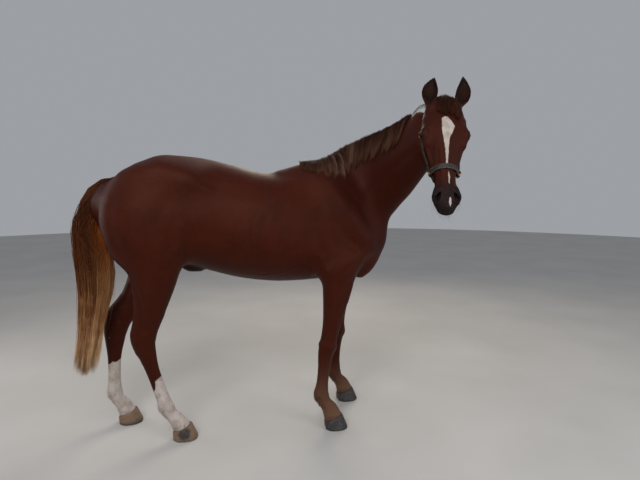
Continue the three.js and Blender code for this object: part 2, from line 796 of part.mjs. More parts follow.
// One lock: out of the crest, over it, and down the right side of the neck.
function maneLock(share) {
  const u = THREE.MathUtils.lerp(mane.from, mane.to, share);
  const crest = crestAt(u);
  const along = crestAt(u + 0.03).sub(crestAt(Math.max(u - 0.03, 0))).normalize();
  const right = along.clone().cross(up).normalize();
  const rise = right.clone().cross(along);
  const [first, second, third] = mane.fall;
  const hang = share < 0.5
    ? THREE.MathUtils.lerp(first, second, share * 2)
    : THREE.MathUtils.lerp(second, third, share * 2 - 1);
  const fall = hang * draw(0.9, 1.12) * mm;
  const drift = draw(-26, -4) * mm;
  const points = [
    crest.clone().addScaledVector(rise, -16 * mm).addScaledVector(right, -4 * mm),
    crest.clone().addScaledVector(rise, 4 * mm).addScaledVector(right, 4 * mm),
  ];
  const outs = [right.clone().negate(), rise.clone()];
  for (const [part, lift] of mane.lifts) {
    const start = crest.clone()
      .addScaledVector(up, -(14 * mm + fall * part))
      .addScaledVector(along, drift * part)
      .addScaledVector(right, 300 * mm);
    const p = landing(body, start, right.clone().negate());
    const out = slopeOf(body, p).normalize();
    points.push(p.addScaledVector(out, lift * mm));
    outs.push(out);
  }
  const taper = [0.6, 0.95, 1, 0.95, 0.62, 0.1];
  const half = mane.half * draw(0.85, 1.15);
  return lock(points, outs, taper, half, mane.thick);
}

const maneLocks = Array.from({ length: mane.locks }, (_, k) => maneLock(k / (mane.locks - 1)));
const neckSolid = largest(
  join(neckAlone, maneLocks).subtract(nearSide(neckRoot, neckWide)).subtract(headSpace(gap)),
);
nodes.push(["neck", neckSolid, coat]);

// ---------------------------------------------------------------- head: skull, lids, nostrils, mouth, forelock

const onHead = (x, y, z) => vec(x, y, z).multiplyScalar(mm).applyMatrix4(headFrame);
const headWay = (x, y, z) => vec(x, y, z).transformDirection(headFrame);
// Where the head's skin lies from a point inside it, looked at along a way out of it.
const skinAt = (x, y, z, way) =>
  landing(body, onHead(x, y, z).addScaledVector(way, 260 * mm), way.clone().negate());

const sides = { right: -1, left: 1 };
let skull = largest(
  polygonise(body, [-90, -300, -320], [592, 140, 50], [26, 20, 20], headFrame).intersect(headSpace(0)),
);

const eye = { x: 163, y: 60, z: -54, radius: 20, proud: 3.5, along: [1, 0, 0.08] };
const lids = [
  { rise: 40, thick: 5 }, // upper
  { rise: -38, thick: 4 }, // lower
];
const lidReach = 66; // degrees from the middle of the eye to its corners

function eyeSeat(side) {
  const way = headWay(0.06, side * 0.96, 0.26);
  const middle = skinAt(eye.x, side * eye.y, eye.z, way).addScaledVector(way, (eye.proud - eye.radius) * mm);
  return { way, middle };
}

function lid({ way, middle }, { rise, thick }) {
  const along = square(headWay(...eye.along), way);
  const brow = square(headWay(0, 0, 1), way);
  const outs = [-1, -0.62, -0.2, 0.2, 0.62, 1].map((t) => {
    const across = lidReach * t * degree;
    const high = rise * (1 - t * t) * degree;
    return way.clone()
      .multiplyScalar(Math.cos(across) * Math.cos(high))
      .addScaledVector(along, Math.sin(across) * Math.cos(high))
      .addScaledVector(brow, Math.sin(high));
  });
  const points = outs.map((out) => middle.clone().addScaledVector(out, (eye.radius + 1) * mm));
  const size = (i) => (i === 0 || i === points.length - 1 ? thick * 0.7 : thick);
  return loft(ringsAlong(points, outs, (i) => oval(size(i), size(i), 5)));
}

const nostril = { x: 484, y: 24, z: -64, half: 17, narrow: 9, rim: 5, deep: 26 };

function nostrilShape(side) {
  const way = headWay(0.5, side * 0.74, 0.45);
  const middle = skinAt(nostril.x, side * nostril.y, nostril.z, way);
  const long = square(headWay(0.6, side * 0.1, -0.8), way);
  const short = long.clone().cross(way);
  const around = (share, out, count) =>
    Array.from({ length: count }, (_, k) => {
      const a = (2 * Math.PI * k) / count;
      return middle.clone().addScaledVector(long, nostril.half * share * Math.cos(a) * mm)
        .addScaledVector(short, nostril.narrow * share * Math.sin(a) * mm)
        .addScaledVector(way, out * mm);
    });
  const rimPoints = around(1.12, -1.5, 12);
  const outs = rimPoints.map(() => way);
  const rim = loft(ringsAlong(rimPoints, outs, () => oval(nostril.rim, nostril.rim, 5), true), true);
  const back = headWay(-0.9, -side * 0.3, -0.1);
  const bottom = around(0.55, 0, 10).map((p) => p.addScaledVector(back, nostril.deep * mm));
  const hole = loft([around(1.05, 12, 10), around(0.95, 2, 10), bottom]);
  return { rim, hole };
}

// The line of the mouth: a groove from one corner round the lips to the other.
const mouth = { x: 458, z: -110, height: 1.6, deep: 8, shallow: 2, corner: 112 };

function mouthGroove() {
  const turns = [-1, -0.72, -0.4, -0.12, 0.12, 0.4, 0.72, 1].map((t) => t * mouth.corner * degree);
  const outs = turns.map((a) => headWay(Math.cos(a), Math.sin(a), 0));
  const points = outs.map((out) => skinAt(mouth.x, 0, mouth.z, out));
  const deep = (i) => (i === 0 || i === points.length - 1 ? mouth.shallow : mouth.deep);
  return loft(ringsAlong(points, outs, (i) => oval(mouth.height, deep(i), 4)));
}

// One lock of the forelock: out of the poll and down the forehead.
const forelock = { locks: 5, spread: 28, half: 15, thick: 6 };

function forelockLock(share) {
  const y = THREE.MathUtils.lerp(-forelock.spread, forelock.spread, share);
  const reach = 62 + 34 * Math.sin(Math.PI * share) + draw(-8, 8);
  const outward = headWay(0, 0, 1);
  const points = [onHead(-24, y * 0.5, -30), onHead(-20, y * 0.7, 10)];
  const outs = [headWay(-1, 0, 0.2), headWay(-0.6, 0, 0.8)];
  for (const [part, lift] of [[0.25, 5], [0.6, 4], [1, 5]]) {
    const p = skinAt(reach * part, y * (0.7 + 0.6 * part) + draw(-3, 3), -40, outward);
    outs.push(slopeOf(body, p).normalize());
    points.push(p.addScaledVector(outs.at(-1), lift * mm));
  }
  const taper = [0.7, 1, 1, 0.8, 0.12];
  return lock(points, outs, taper, forelock.half, forelock.thick);
}

const seats = Object.fromEntries(Object.entries(sides).map(([name, side]) => [name, eyeSeat(side)]));
const ballAt = ({ middle }, radius) =>
  solidOf(new THREE.SphereGeometry(radius, 12, 8), new THREE.Matrix4().setPosition(middle));
const nostrils = Object.values(sides).map(nostrilShape);
skull = join(skull, Object.values(seats).flatMap((seat) => lids.map((shape) => lid(seat, shape))));
skull = join(skull, nostrils.map(({ rim }) => rim));
skull = join(skull, Array.from({ length: forelock.locks }, (_, k) => forelockLock(k / (forelock.locks - 1))));
for (const { hole } of nostrils) skull = skull.subtract(hole);
for (const seat of Object.values(seats)) skull = skull.subtract(ballAt(seat, (eye.radius + gap) * mm));
skull = largest(skull.subtract(mouthGroove()).intersect(headSpace(0)));
nodes.push(["head", skull, coat]);
const skullSeat = swollen(skull);
for (const [name, seat] of Object.entries(seats)) {
  nodes.push([`eye_${name}`, ballAt(seat, eye.radius * mm), eyeball]);
}

// ---------------------------------------------------------------- ears

// Stations up the ear: share of its length, half width, half depth, how far round the shell
// reaches from the back (degrees), and its thickness.
const earStations = [
  [-0.16, 20, 19, 165, 14],
  [0, 24, 22, 155, 8],
  [0.18, 31, 25, 132, 6],
  [0.4, 41, 26, 112, 5],
  [0.62, 39, 21, 98, 4.5],
  [0.82, 25, 13, 92, 4],
  [0.94, 12, 7, 90, 2.4],
  [1, 2, 1.5, 90, 0.8],
];
const ears = {
  right: { root: vec(6, -62, -32), tip: vec(-160, -43, -14), opens: vec(0.1, -0.18, 1), bow: -14 },
  left: { root: vec(6, 55, -32), tip: vec(-172, 102, -14), opens: vec(0.1, 0.3, 1), bow: 22 },
};
const earPoints = 7; // round the shell, on each face

function ear({ root, tip, opens, bow }) {
  const lift = tip.clone().sub(root);
  const length = lift.length();
  const axis = lift.normalize();
  const front = square(opens, axis);
  const across = front.clone().cross(axis);
  const rings = earStations.map(([share, wide, deep, round, thick]) => {
    const middle = root.clone().addScaledVector(axis, length * share)
      .addScaledVector(across, -bow * Math.sin(Math.PI * Math.max(share, 0)))
      .addScaledVector(front, -10 * Math.max(share, 0) ** 2);
    const face = (inset) =>
      Array.from({ length: earPoints }, (_, k) => {
        const a = THREE.MathUtils.lerp(-round, round, k / (earPoints - 1)) * degree;
        return middle.clone().addScaledVector(across, (wide - inset) * Math.sin(a))
          .addScaledVector(front, -(deep - inset) * Math.cos(a));
      });
    return [...face(0), ...face(thick).reverse()].map((p) => onHead(...p.toArray()));
  });
  return largest(loft(rings).subtract(skullSeat));
}

for (const [name, shape] of Object.entries(ears)) nodes.push([`ear_${name}`, ear(shape), earCoat]);

// ---------------------------------------------------------------- tail

// Rows down the hanging tail: height, x of its middle, half length along the horse, half width.
const tailRows = [
  [1345, -820, 34, 32],
  [1290, -852, 40, 36],
  [1220, -862, 50, 42],
  [1147, -856, 70, 50],
  [1030, -834, 86, 58],
  [900, -826, 86, 60],
  [776, -832, 76, 55],
  [607, -858, 57, 44],
  [500, -876, 52, 36],
  [400, -898, 52, 31],
  [330, -912, 44, 24],
];
const tailAt = (z) => {
  const next = Math.max(tailRows.findIndex((row) => row[0] <= z), 1);
  const [a, b] = [tailRows[next - 1], tailRows[next]];
  const share = THREE.MathUtils.clamp((a[0] - z) / (a[0] - b[0]), 0, 1);
  return a.map((v, k) => THREE.MathUtils.lerp(v, b[k], share));
};
const tailLocks = [
  // how many, how far out in the tail, from what height, down to what heights
  { count: 7, out: 0.84, from: 1345, to: [332, 410] },
  { count: 5, out: 0.88, from: 1300, to: [500, 720] },
];
const tailLock = { half: 36, thick: 16, steps: 6 };

function hangingLock(a, out, from, to) {
  const points = [];
  const outs = [];
  for (let k = 0; k < tailLock.steps; k++) {
    const z = THREE.MathUtils.lerp(from, to, (k / (tailLock.steps - 1)) ** 1.1);
    const [, x, long, wide] = tailAt(z);
    const share = k === 0 ? out * 0.25 : out;
    points.push(vec(x + share * long * Math.cos(a), share * wide * Math.sin(a), z).multiplyScalar(mm));
    outs.push(vec(Math.cos(a) / long, Math.sin(a) / wide, 0).normalize());
  }
  const taper = [0.7, 1.05, 1.25, 1.1, 0.75, 0.12];
  const half = tailLock.half * draw(0.85, 1.15);
  return lock(points, outs, taper, half, tailLock.thick);
}

const hangs = tailLocks.flatMap(({ count, out, from, to }, tier) =>
  Array.from({ length: count }, (_, k) => {
    const turn = (2 * Math.PI * (k + tier / 2 + draw(-0.15, 0.15))) / count;
    return hangingLock(turn, out, from + draw(-25, 10), draw(...to));
  }),
);
const dockSolid = polygonise(tailCore, [-960, -60, 1080], [-620, 60, 1460], [32, 22, 32]);
const tail = join(dockSolid, hangs).subtract(swollen(torso));
nodes.push(["tail", largest(tail), tailHair]);

// ---------------------------------------------------------------- headcollar

const strap = { thick: 5.5, sunk: 6 };
const fleshAround = [skull, skullSeat, neckSolid, swollen(neckSolid)];

// A strap over the skin through the given points, cut clear of the flesh under it.
function strapOver(points, width, closed = false) {
  const outs = points.map((p) => slopeOf(body, p).normalize());
  const half = width / 2;
  const section = [[-half, -strap.sunk], [half, -strap.sunk], [half, strap.thick], [-half, strap.thick]];
  const band = loft(ringsAlong(points, outs, () => section, closed), closed);
  return largest(fleshAround.reduce((left, solid) => left.subtract(solid), band));
}

const noseband = { x: 345, z: -90, width: 25 };
const nosebandTurns = [0, 17, 34, 51, 68, 86, 106, 128, 152, 208, 232, 254, 274, 292, 309, 326, 343];
const nosebandPoints = nosebandTurns.map((turn) =>
  skinAt(noseband.x, 0, noseband.z, headWay(0, Math.sin(turn * degree), Math.cos(turn * degree))),
);
nodes.push(["halter_noseband", strapOver(nosebandPoints, noseband.width, true), leather]);

// Down the side of the head, as [x, z]: from the crown's buckle to the noseband.
const cheekPath = [[92, -104], [150, -116], [215, -118], [275, -110], [330, -100]];
// Over the crest behind the ears, in degrees from straight up the head's line.
const crown = { x: 42, z: -104, turns: [-108, -86, -64, -40, -16, 10, 34, 58, 82, 106] };
const strapWidth = 20;
const ring = { x: 341, z: -99, radius: 13, wire: 2.8, clear: 2.4 };

for (const [name, side] of Object.entries(sides)) {
  const sideways = headWay(0, side, 0);
  const cheekPoints = cheekPath.map(([x, z]) => skinAt(x, 0, z, sideways));
  nodes.push([`halter_cheek_${name}`, strapOver(cheekPoints, strapWidth), leather]);

  const ringMiddle = skinAt(ring.x, 0, ring.z, sideways);
  const out = slopeOf(body, ringMiddle).normalize();
  const facingOut = new THREE.Matrix4().compose(
    ringMiddle.addScaledVector(out, (strap.thick + ring.wire + ring.clear) * mm),
    new THREE.Quaternion().setFromUnitVectors(up, out),
    vec(1, 1, 1),
  );
  const torus = new THREE.TorusGeometry(ring.radius * mm, ring.wire * mm, 5, 12);
  nodes.push([`halter_ring_${name}`, solidOf(torus, facingOut), brass]);
}

const crownPoints = crown.turns.map((turn) =>
  skinAt(crown.x, 0, crown.z, headWay(-Math.cos(turn * degree), Math.sin(turn * degree), 0)),
);
nodes.push(["halter_crown", strapOver(crownPoints, strapWidth), leather]);

// ---------------------------------------------------------------- the model

const horse = new THREE.Group();
for (const [name, solid, material] of nodes) {
  const { vertProperties, triVerts } = solid.getMesh();
  const geometry = new THREE.BufferGeometry()
    .setAttribute("position", new THREE.BufferAttribute(vertProperties, 3))
    .setIndex(new THREE.BufferAttribute(triVerts, 1));
  const mesh = new THREE.Mesh(geometry, material);
  mesh.name = name;
  horse.add(mesh);
}

// The origin lies on the floor under the middle of the whole.
const bounds = new THREE.Box3().setFromObject(horse);
const middle = bounds.getCenter(vec(0, 0, 0));
horse.position.set(-middle.x, -middle.y, -bounds.min.z);

export default horse;
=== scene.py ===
import math
import bpy
import bmesh
import numpy as np
from mathutils import Matrix, Vector


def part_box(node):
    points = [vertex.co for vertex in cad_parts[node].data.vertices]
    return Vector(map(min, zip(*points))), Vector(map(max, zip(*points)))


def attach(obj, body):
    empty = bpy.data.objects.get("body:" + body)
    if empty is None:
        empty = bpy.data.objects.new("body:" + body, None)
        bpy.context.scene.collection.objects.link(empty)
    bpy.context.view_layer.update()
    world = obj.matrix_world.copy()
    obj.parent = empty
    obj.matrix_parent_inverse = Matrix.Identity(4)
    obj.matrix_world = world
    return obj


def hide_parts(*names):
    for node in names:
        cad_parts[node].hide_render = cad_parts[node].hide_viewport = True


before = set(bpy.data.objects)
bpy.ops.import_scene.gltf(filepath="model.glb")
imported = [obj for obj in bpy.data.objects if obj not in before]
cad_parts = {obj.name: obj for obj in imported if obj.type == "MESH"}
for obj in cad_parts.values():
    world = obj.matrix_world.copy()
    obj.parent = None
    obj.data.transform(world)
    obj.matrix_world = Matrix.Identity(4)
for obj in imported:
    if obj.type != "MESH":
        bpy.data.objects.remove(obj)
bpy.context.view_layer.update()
print("frame loaded")

# The drawing's own frame: the horse stands on z = 0 and faces +X. Its rows are in millimetres,
# and everything made from them is moved by `shift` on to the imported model.
drawing = {"rightHindHoofMiddle": (-0.37325, -0.13419)}
hoofMiddle = np.mean(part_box("hind_right_hoof"), axis=0)
shift = np.array([*(hoofMiddle[:2] - drawing["rightHindHoofMiddle"]), 0.0])

xWay, yWay, zWay = np.eye(3)
random = np.random.default_rng(11)


def unit(v):
    return v / np.maximum(np.linalg.norm(v, axis=-1, keepdims=True), 1e-12)


def squareTo(v, axis):  # the part of v square to axis, at unit length
    return unit(v - axis * np.sum(v * axis, axis=-1, keepdims=True))


def lengthOf(v):
    return np.linalg.norm(v, axis=-1)


def smoothStep(low, high, x):
    t = np.clip((x - low) / (high - low), 0, 1)
    return t * t * (3 - 2 * t)


# ---- camera, lights and floor

studio = {
    "cameraAt": (-0.13, -2.717, 1.35),
    "turn": -11.0,  # degrees from looking along +Y
    "down": 6.17,
    "focal": 27.045,  # mm on a 36 mm wide sensor
    "world": (0.80, 0.83, 0.88, 1),
    "worldStrength": 0.42,
    "lamps": [  # name, place, aimed at, size, watts, colour
        ("key", (-1.6, -3.4, 3.6), (0.0, 0.0, 1.0), 2.6, 125, (1.0, 0.97, 0.93)),
        ("fill", (2.9, -3.0, 1.9), (0.3, -0.2, 1.0), 2.4, 50, (0.93, 0.96, 1.0)),
        ("back", (1.2, 3.2, 3.2), (0.2, 0.0, 1.2), 2.2, 62, (1.0, 0.88, 0.70)),
        ("low", (-3.0, 1.2, 1.4), (-0.4, 0.0, 0.8), 1.6, 12, (1.0, 0.95, 0.9)),
    ],
    "floor": (0.46, 0.45, 0.44),
    "floorRadius": 14,
}


def setCamera(scene):
    data = bpy.data.cameras.new("camera")
    data.lens = studio["focal"]
    data.sensor_width = 36
    data.clip_start = 0.05
    data.clip_end = 60
    camera = bpy.data.objects.new("camera", data)
    scene.collection.objects.link(camera)
    turn = math.radians(studio["turn"])
    down = math.radians(studio["down"])
    ahead = Vector((-math.sin(turn) * math.cos(down), math.cos(turn) * math.cos(down), -math.sin(down)))
    right = Vector((math.cos(turn), math.sin(turn), 0))
    place = Matrix((right, right.cross(ahead), -ahead)).transposed().to_4x4()
    place.translation = Vector(studio["cameraAt"]) + Vector(shift)
    camera.matrix_world = place
    scene.camera = camera


def setLights(scene):
    world = bpy.data.worlds.new("studio")
    world.use_nodes = True
    sky = world.node_tree.nodes["Background"].inputs
    sky["Color"].default_value = studio["world"]
    sky["Strength"].default_value = studio["worldStrength"]
    scene.world = world
    for name, at, aim, size, watts, colour in studio["lamps"]:
        lamp = bpy.data.lights.new(name, "AREA")
        lamp.shape = "DISK"
        lamp.size = size
        lamp.energy = watts
        lamp.color = colour
        holder = bpy.data.objects.new(name, lamp)
        scene.collection.objects.link(holder)
        holder.location = at
        holder.rotation_euler = (Vector(aim) - Vector(at)).to_track_quat("-Z", "Y").to_euler()


bpy.context.scene.view_settings.view_transform = "Standard"
setCamera(bpy.context.scene)
setLights(bpy.context.scene)
bpy.ops.object.select_all(action="DESELECT")
bpy.ops.mesh.primitive_circle_add(vertices=96, radius=studio["floorRadius"], fill_type="NGON")
floor = bpy.context.object
floor.name = "floor"
print("studio ready")

# ---- the form of the horse: tapered tubes blended into one smooth field


def catmull(a, b, c, d, t):
    return b + 0.5 * t * (c - a + t * (2 * a - 5 * b + 4 * c - d + t * (3 * (b - c) + d - a)))


def smoothLine(rows):  # a smooth curve through the rows, with four points for each
    last = len(rows) - 1
    dense = []
    for i in range(last):
        a, b, c, d = (rows[min(max(i + k, 0), last)] for k in (-1, 0, 1, 2))
        dense += [catmull(a, b, c, d, s / 4) for s in range(4)]
    return np.array(dense + [rows[-1]])


# Rows are [x, y, z, half side, half front, half back] in mm; front points towards `facing`.
def tube(rows, facing, blend, matrix=None, kind="add"):
    rows = np.array(rows, float) / 1000
    if matrix is not None:
        rows[:, :3] = rows[:, :3] @ matrix[:3, :3].T + matrix[:3, 3]
        facing = matrix[:3, :3] @ facing
    dense = smoothLine(rows)
    centre = dense[:, :3]
    last = len(dense) - 2
    steps = np.arange(len(dense))
    along = unit(centre[np.minimum(steps + 1, last + 1)] - centre[np.maximum(steps - 1, 0)])
    front = squareTo(unit(facing)[None], along)
    side = np.cross(front, along)
    reach = dense[:, 3:].max()

    def distance(p):
        nearest = (-2 * p @ centre.T + (centre * centre).sum(1)).argmin(1)

        def onSpan(i):
            start = centre[i]
            span = centre[i + 1] - start
            t = np.clip(((p - start) * span).sum(1) / (span * span).sum(1), 0, 1)
            return t, ((p - start - span * t[:, None]) ** 2).sum(1)

        before, after = np.clip(nearest - 1, 0, last), np.clip(nearest, 0, last)
        (t0, d0), (t1, d1) = onSpan(before), onSpan(after)
        i = np.where(d1 < d0, after, before)
        t = np.where(d1 < d0, t1, t0)
        mix = t[:, None]
        row = dense[i] + (dense[i + 1] - dense[i]) * mix
        w = p - row[:, :3]
        s, f, e = ((w * (axis[i] + (axis[i + 1] - axis[i]) * mix)).sum(1) for axis in (side, front, along))
        half = np.where(f > 0, row[:, 4], row[:, 5])
        beyond = ((i == 0) & (t == 0)) | ((i == last) & (t == 1))
        e = np.where(beyond, e, 0)
        cap = np.minimum(row[:, 3], half)
        ratio = np.maximum(np.sqrt((s / row[:, 3]) ** 2 + (f / half) ** 2 + (e / cap) ** 2), 1e-6)
        return np.sqrt(s * s + f * f + e * e) * (1 - 1 / ratio)

    return {"kind": kind, "blend": blend / 1000, "distance": distance,
            "low": centre.min(0) - reach, "high": centre.max(0) + reach}


def bothSides(rows, facing, blend, matrix=None):
    return [tube([[x, side * y, *rest] for x, y, *rest in rows], facing, blend, matrix) for side in (1, -1)]


barrel = [  # x, top line, belly line, half width
    [-745, 1425, 1150, 84], [-665, 1474, 1040, 160], [-550, 1508, 970, 210], [-430, 1524, 945, 230],
    [-300, 1516, 928, 224], [-160, 1483, 888, 226], [-20, 1446, 848, 240], [120, 1430, 826, 243],
    [250, 1442, 822, 230], [370, 1466, 828, 205], [490, 1440, 848, 178], [590, 1370, 880, 156],
    [665, 1270, 950, 120],
]
trunkRows = []
for x, top, belly, half in barrel:
    middle = belly + (top - belly) * 0.46
    trunkRows.append([x, 0, middle, half, top - middle, middle - belly])

trunk = [
    tube(trunkRows, zWay, 60),
    tube([[180, 0, 1420, 40, 22, 60], [300, 0, 1440, 38, 42, 60], [400, 0, 1440, 36, 48, 60],
          [520, 0, 1450, 34, 40, 60]], zWay, 70),  # withers
    *bothSides([[335, 70, 1400, 70, 34, 40], [420, 110, 1310, 94, 44, 60], [510, 136, 1200, 96, 50, 70],
                [600, 136, 1085, 72, 50, 70], [642, 118, 1035, 50, 44, 60]], yWay, 60),  # shoulders
    *bothSides([[615, 114, 1030, 60, 50, 70], [530, 138, 950, 72, 44, 80], [440, 138, 905, 60, 40, 70],
                [405, 133, 895, 44, 34, 60]], yWay, 50),  # upper arms
    *bothSides([[430, 130, 1180, 70, 40, 60], [430, 138, 1060, 82, 46, 60],
                [425, 140, 950, 60, 44, 60]], yWay, 60),  # triceps
    *bothSides([[560, 60, 1240, 84, 90, 70], [668, 66, 1100, 74, 96, 70], [660, 68, 1000, 66, 88, 70],
                [628, 68, 925, 56, 80, 60], [600, 66, 885, 44, 66, 50]], xWay, 50),  # breast
    *bothSides([[-450, 100, 1440, 100, 56, 90], [-305, 118, 1392, 88, 54, 90]], zWay, 90),  # hips
]

legRows = {  # x, y, z, half width, half depth to the front and to the back
    "hindRight": [
        [-540, -105, 1370, 92, 160, 150], [-555, -128, 1240, 104, 190, 200],
        [-535, -140, 1110, 104, 186, 204], [-508, -143, 1000, 94, 160, 180],
        [-505, -141, 910, 80, 126, 138], [-525, -136, 810, 64, 108, 94],
        [-545, -131, 710, 51, 88, 72], [-562, -127, 625, 43, 70, 64], [-570, -125, 555, 42, 62, 62],
        [-558, -125, 495, 34, 48, 54], [-532, -127, 400, 26, 33, 41], [-503, -129, 300, 25, 31, 37],
        [-480, -130, 225, 28, 34, 39], [-466, -131, 182, 33, 39, 45], [-445, -132, 140, 29, 35, 38],
        [-412, -133, 100, 34, 42, 42], [-384, -133, 50, 41, 46, 50],
    ],
    "hindLeft": [
        [-540, 105, 1370, 92, 160, 150], [-560, 128, 1240, 104, 190, 196], [-555, 140, 1110, 104, 190, 190],
        [-545, 143, 1000, 94, 170, 158], [-565, 139, 900, 78, 132, 118], [-615, 132, 800, 61, 92, 88],
        [-678, 125, 700, 49, 72, 68], [-735, 120, 615, 43, 66, 62], [-764, 118, 550, 42, 66, 60],
        [-770, 117, 490, 34, 56, 52], [-773, 116, 400, 26, 38, 40], [-776, 116, 300, 25, 33, 37],
        [-778, 116, 230, 28, 35, 39], [-779, 116, 187, 33, 40, 45], [-762, 116, 143, 29, 35, 40],
        [-732, 116, 103, 34, 41, 46], [-708, 116, 50, 41, 46, 52],
    ],
    "foreRight": [
        [474, -128, 980, 71, 112, 86], [468, -142, 890, 68, 108, 84], [460, -148, 800, 60, 92, 76],
        [450, -152, 700, 51, 71, 65], [437, -154, 600, 42, 54, 54], [422, -155, 520, 38, 45, 49],
        [412, -156, 465, 43, 50, 52], [402, -158, 415, 34, 39, 47], [394, -160, 340, 26, 31, 40],
        [386, -162, 270, 25, 30, 39], [380, -164, 228, 29, 35, 42], [376, -165, 195, 34, 40, 46],
        [397, -168, 150, 29, 34, 41], [426, -171, 110, 34, 40, 50], [450, -174, 50, 42, 48, 58],
    ],
    "foreLeft": [
        [532, 128, 980, 72, 128, 90], [538, 133, 890, 70, 118, 100], [536, 134, 800, 62, 108, 92],
        [534, 137, 700, 52, 84, 68], [535, 140, 600, 43, 57, 50], [537, 143, 520, 38, 45, 43],
        [537, 146, 463, 43, 49, 46], [532, 150, 415, 34, 39, 42], [529, 155, 340, 26, 31, 35],
        [527, 160, 270, 25, 30, 34], [526, 164, 225, 29, 35, 40], [525, 167, 190, 34, 40, 46],
        [546, 171, 147, 29, 34, 40], [577, 174, 108, 34, 40, 48], [601, 177, 50, 42, 48, 54],
    ],
}


def hockPoint(x, y, z, start):
    rows = [[x + start, y, z + 120, 14, 18, 20], [x + 30, y, z + 40, 17, 20, 21],
            [x + 24, y, z, 20, 23, 24], [x + 50, y, z - 75, 20, 24, 26]]
    return tube(rows, xWay, 30)


legForm = [tube(rows, xWay, 90 if "hind" in name else 60) for name, rows in legRows.items()]
legForm += [hockPoint(-634, -125, 572, 66), hockPoint(-824, 118, 606, 108)]

neckRows = [  # up the neck: half width, half depth to the crest and to the throat
    [430, 0, 1230, 150, 212, 250], [535, 0, 1285, 134, 240, 265], [635, -16, 1350, 114, 256, 245],
    [722, -80, 1418, 98, 240, 220], [788, -180, 1482, 87, 210, 194], [830, -290, 1545, 78, 176, 164],
    [860, -395, 1605, 72, 148, 136],
]
neck = [tube(neckRows, zWay, 70)]

# The head's frame: origin at the poll, x down the face, y to its left, z out of the forehead.
headPose = {"poll": (0.907, -0.520, 1.764), "turn": -108, "tilt": 30, "twist": -5}
headMatrix = np.array(
    Matrix.Translation(headPose["poll"])
    @ Matrix.Rotation(math.radians(headPose["turn"]), 4, "Z")
    @ Matrix.Rotation(math.radians(90 - headPose["tilt"]), 4, "Y")
    @ Matrix.Rotation(math.radians(headPose["twist"]), 4, "X")
)
headTurn = headMatrix[:3, :3]


def onHead(*xyz):  # head millimetres to the drawing's metres
    return np.asarray(xyz if len(xyz) > 1 else xyz[0], float) / 1000 @ headTurn.T + headMatrix[:3, 3]


def headWay(x, y, z):
    return unit(headTurn @ np.array([x, y, z], float))


def bothInHead(rows, blend):
    return bothSides(rows, zWay, blend, headMatrix)


headForm = [
    tube([[-5, 0, -62, 58, 50, 60], [40, 0, -56, 77, 58, 70], [100, 0, -56, 88, 64, 75],
          [160, 0, -58, 87, 62, 75], [230, 0, -63, 69, 53, 64], [310, 0, -70, 56, 45, 52],
          [385, 0, -76, 48, 39, 44], [440, 0, -79, 50, 38, 42], [492, 0, -82, 52, 36, 44],
          [528, 0, -88, 44, 30, 38]], zWay, 30, headMatrix),  # skull and face
    *bothInHead([[70, 34, -140, 26, 50, 40], [130, 38, -165, 30, 60, 58], [200, 36, -165, 28, 60, 56],
                 [290, 26, -150, 24, 44, 36], [380, 14, -137, 24, 30, 26], [455, 10, -132, 27, 26, 24],
                 [500, 6, -126, 29, 24, 24]], 30),  # lower jaw
    *bothInHead([[120, 55, -118, 24, 50, 54], [190, 60, -122, 28, 62, 68], [262, 52, -118, 24, 50, 52],
                 [318, 42, -112, 18, 34, 36]], 30),  # cheeks
    *bothInHead([[112, 66, -38, 26, 25, 28], [160, 87, -44, 29, 28, 30], [210, 80, -56, 22, 20, 24]], 26),
    *bothInHead([[210, 79, -66, 12, 12, 14], [290, 64, -82, 12, 11, 14], [345, 52, -88, 9, 9, 11]], 20),
    *bothInHead([[448, 38, -68, 20, 22, 22], [482, 47, -71, 21, 23, 26], [505, 42, -76, 18, 20, 24]], 18),
    *bothInHead([[448, 35, -108, 14, 14, 10], [495, 35, -106, 16, 16, 12], [532, 16, -104, 15, 16, 14]], 18),
    *bothInHead([[-4, 40, -44, 28, 26, 28], [12, 54, -30, 24, 22, 24]], 30),  # roots of the ears
    *bothInHead([[4, 54, -52, 24, 22, 26], [48, 68, -50, 27, 24, 30], [96, 75, -48, 26, 24, 28]], 28),
]
sheathRows = [[-375, 0, 945, 28, 28, 30], [-330, 0, 924, 33, 34, 34], [-282, 0, 912, 25, 27, 24]]


def fieldOf(steps):
    def field(points):
        d = np.full(len(points), 0.4)
        for step in steps:
            blend = step["blend"]
            away = lengthOf(np.maximum(np.maximum(step["low"] - points, points - step["high"]), 0))
            adds = step["kind"] == "add"
            near = np.nonzero(away <= (d + blend if adds else blend))[0]
            if not len(near):
                continue
            e = step["distance"](points[near]) * (1 if adds else -1)
            here = d[near]
            h = np.maximum(blend - np.abs(here - e), 0) / blend
            h = h * h * blend / 4
            d[near] = np.minimum(here, e) - h if adds else np.maximum(here, e) + h
        return d
    return field


tetra = np.array([[1, 1, 1], [1, -1, -1], [-1, 1, -1], [-1, -1, 1]]) / math.sqrt(3)


def valueAndSlope(field, points, reach=0.0012):
    values = [field(points + corner * reach) for corner in tetra]
    slope = sum(v[:, None] * corner for v, corner in zip(values, tetra)) * (3 / (4 * reach))
    return sum(values) / 4, slope


def settle(field, points, level, limit=0.003, turns=1):
    for _ in range(turns):
        value, slope = valueAndSlope(field, points)
        size = np.maximum(lengthOf(slope), 0.3)
        move = np.clip((level - value) / size, -limit, limit)
        points = points + unit(slope) * move[:, None]
    return points


# Where straight paths from outside first meet the surface.
def land(field, starts, ways, level=0.0, turns=60):
    points = np.array(starts, float)
    for _ in range(turns):
        d = field(points) - level
        points = points + ways * np.where(d > 0.0002, d * 0.75, 0)[:, None]
    return points


fleshSteps = [*trunk, *legForm, *neck, *headForm, tube(sheathRows, zWay, 26)]
plainBody = fieldOf(fleshSteps)
print("form ready")

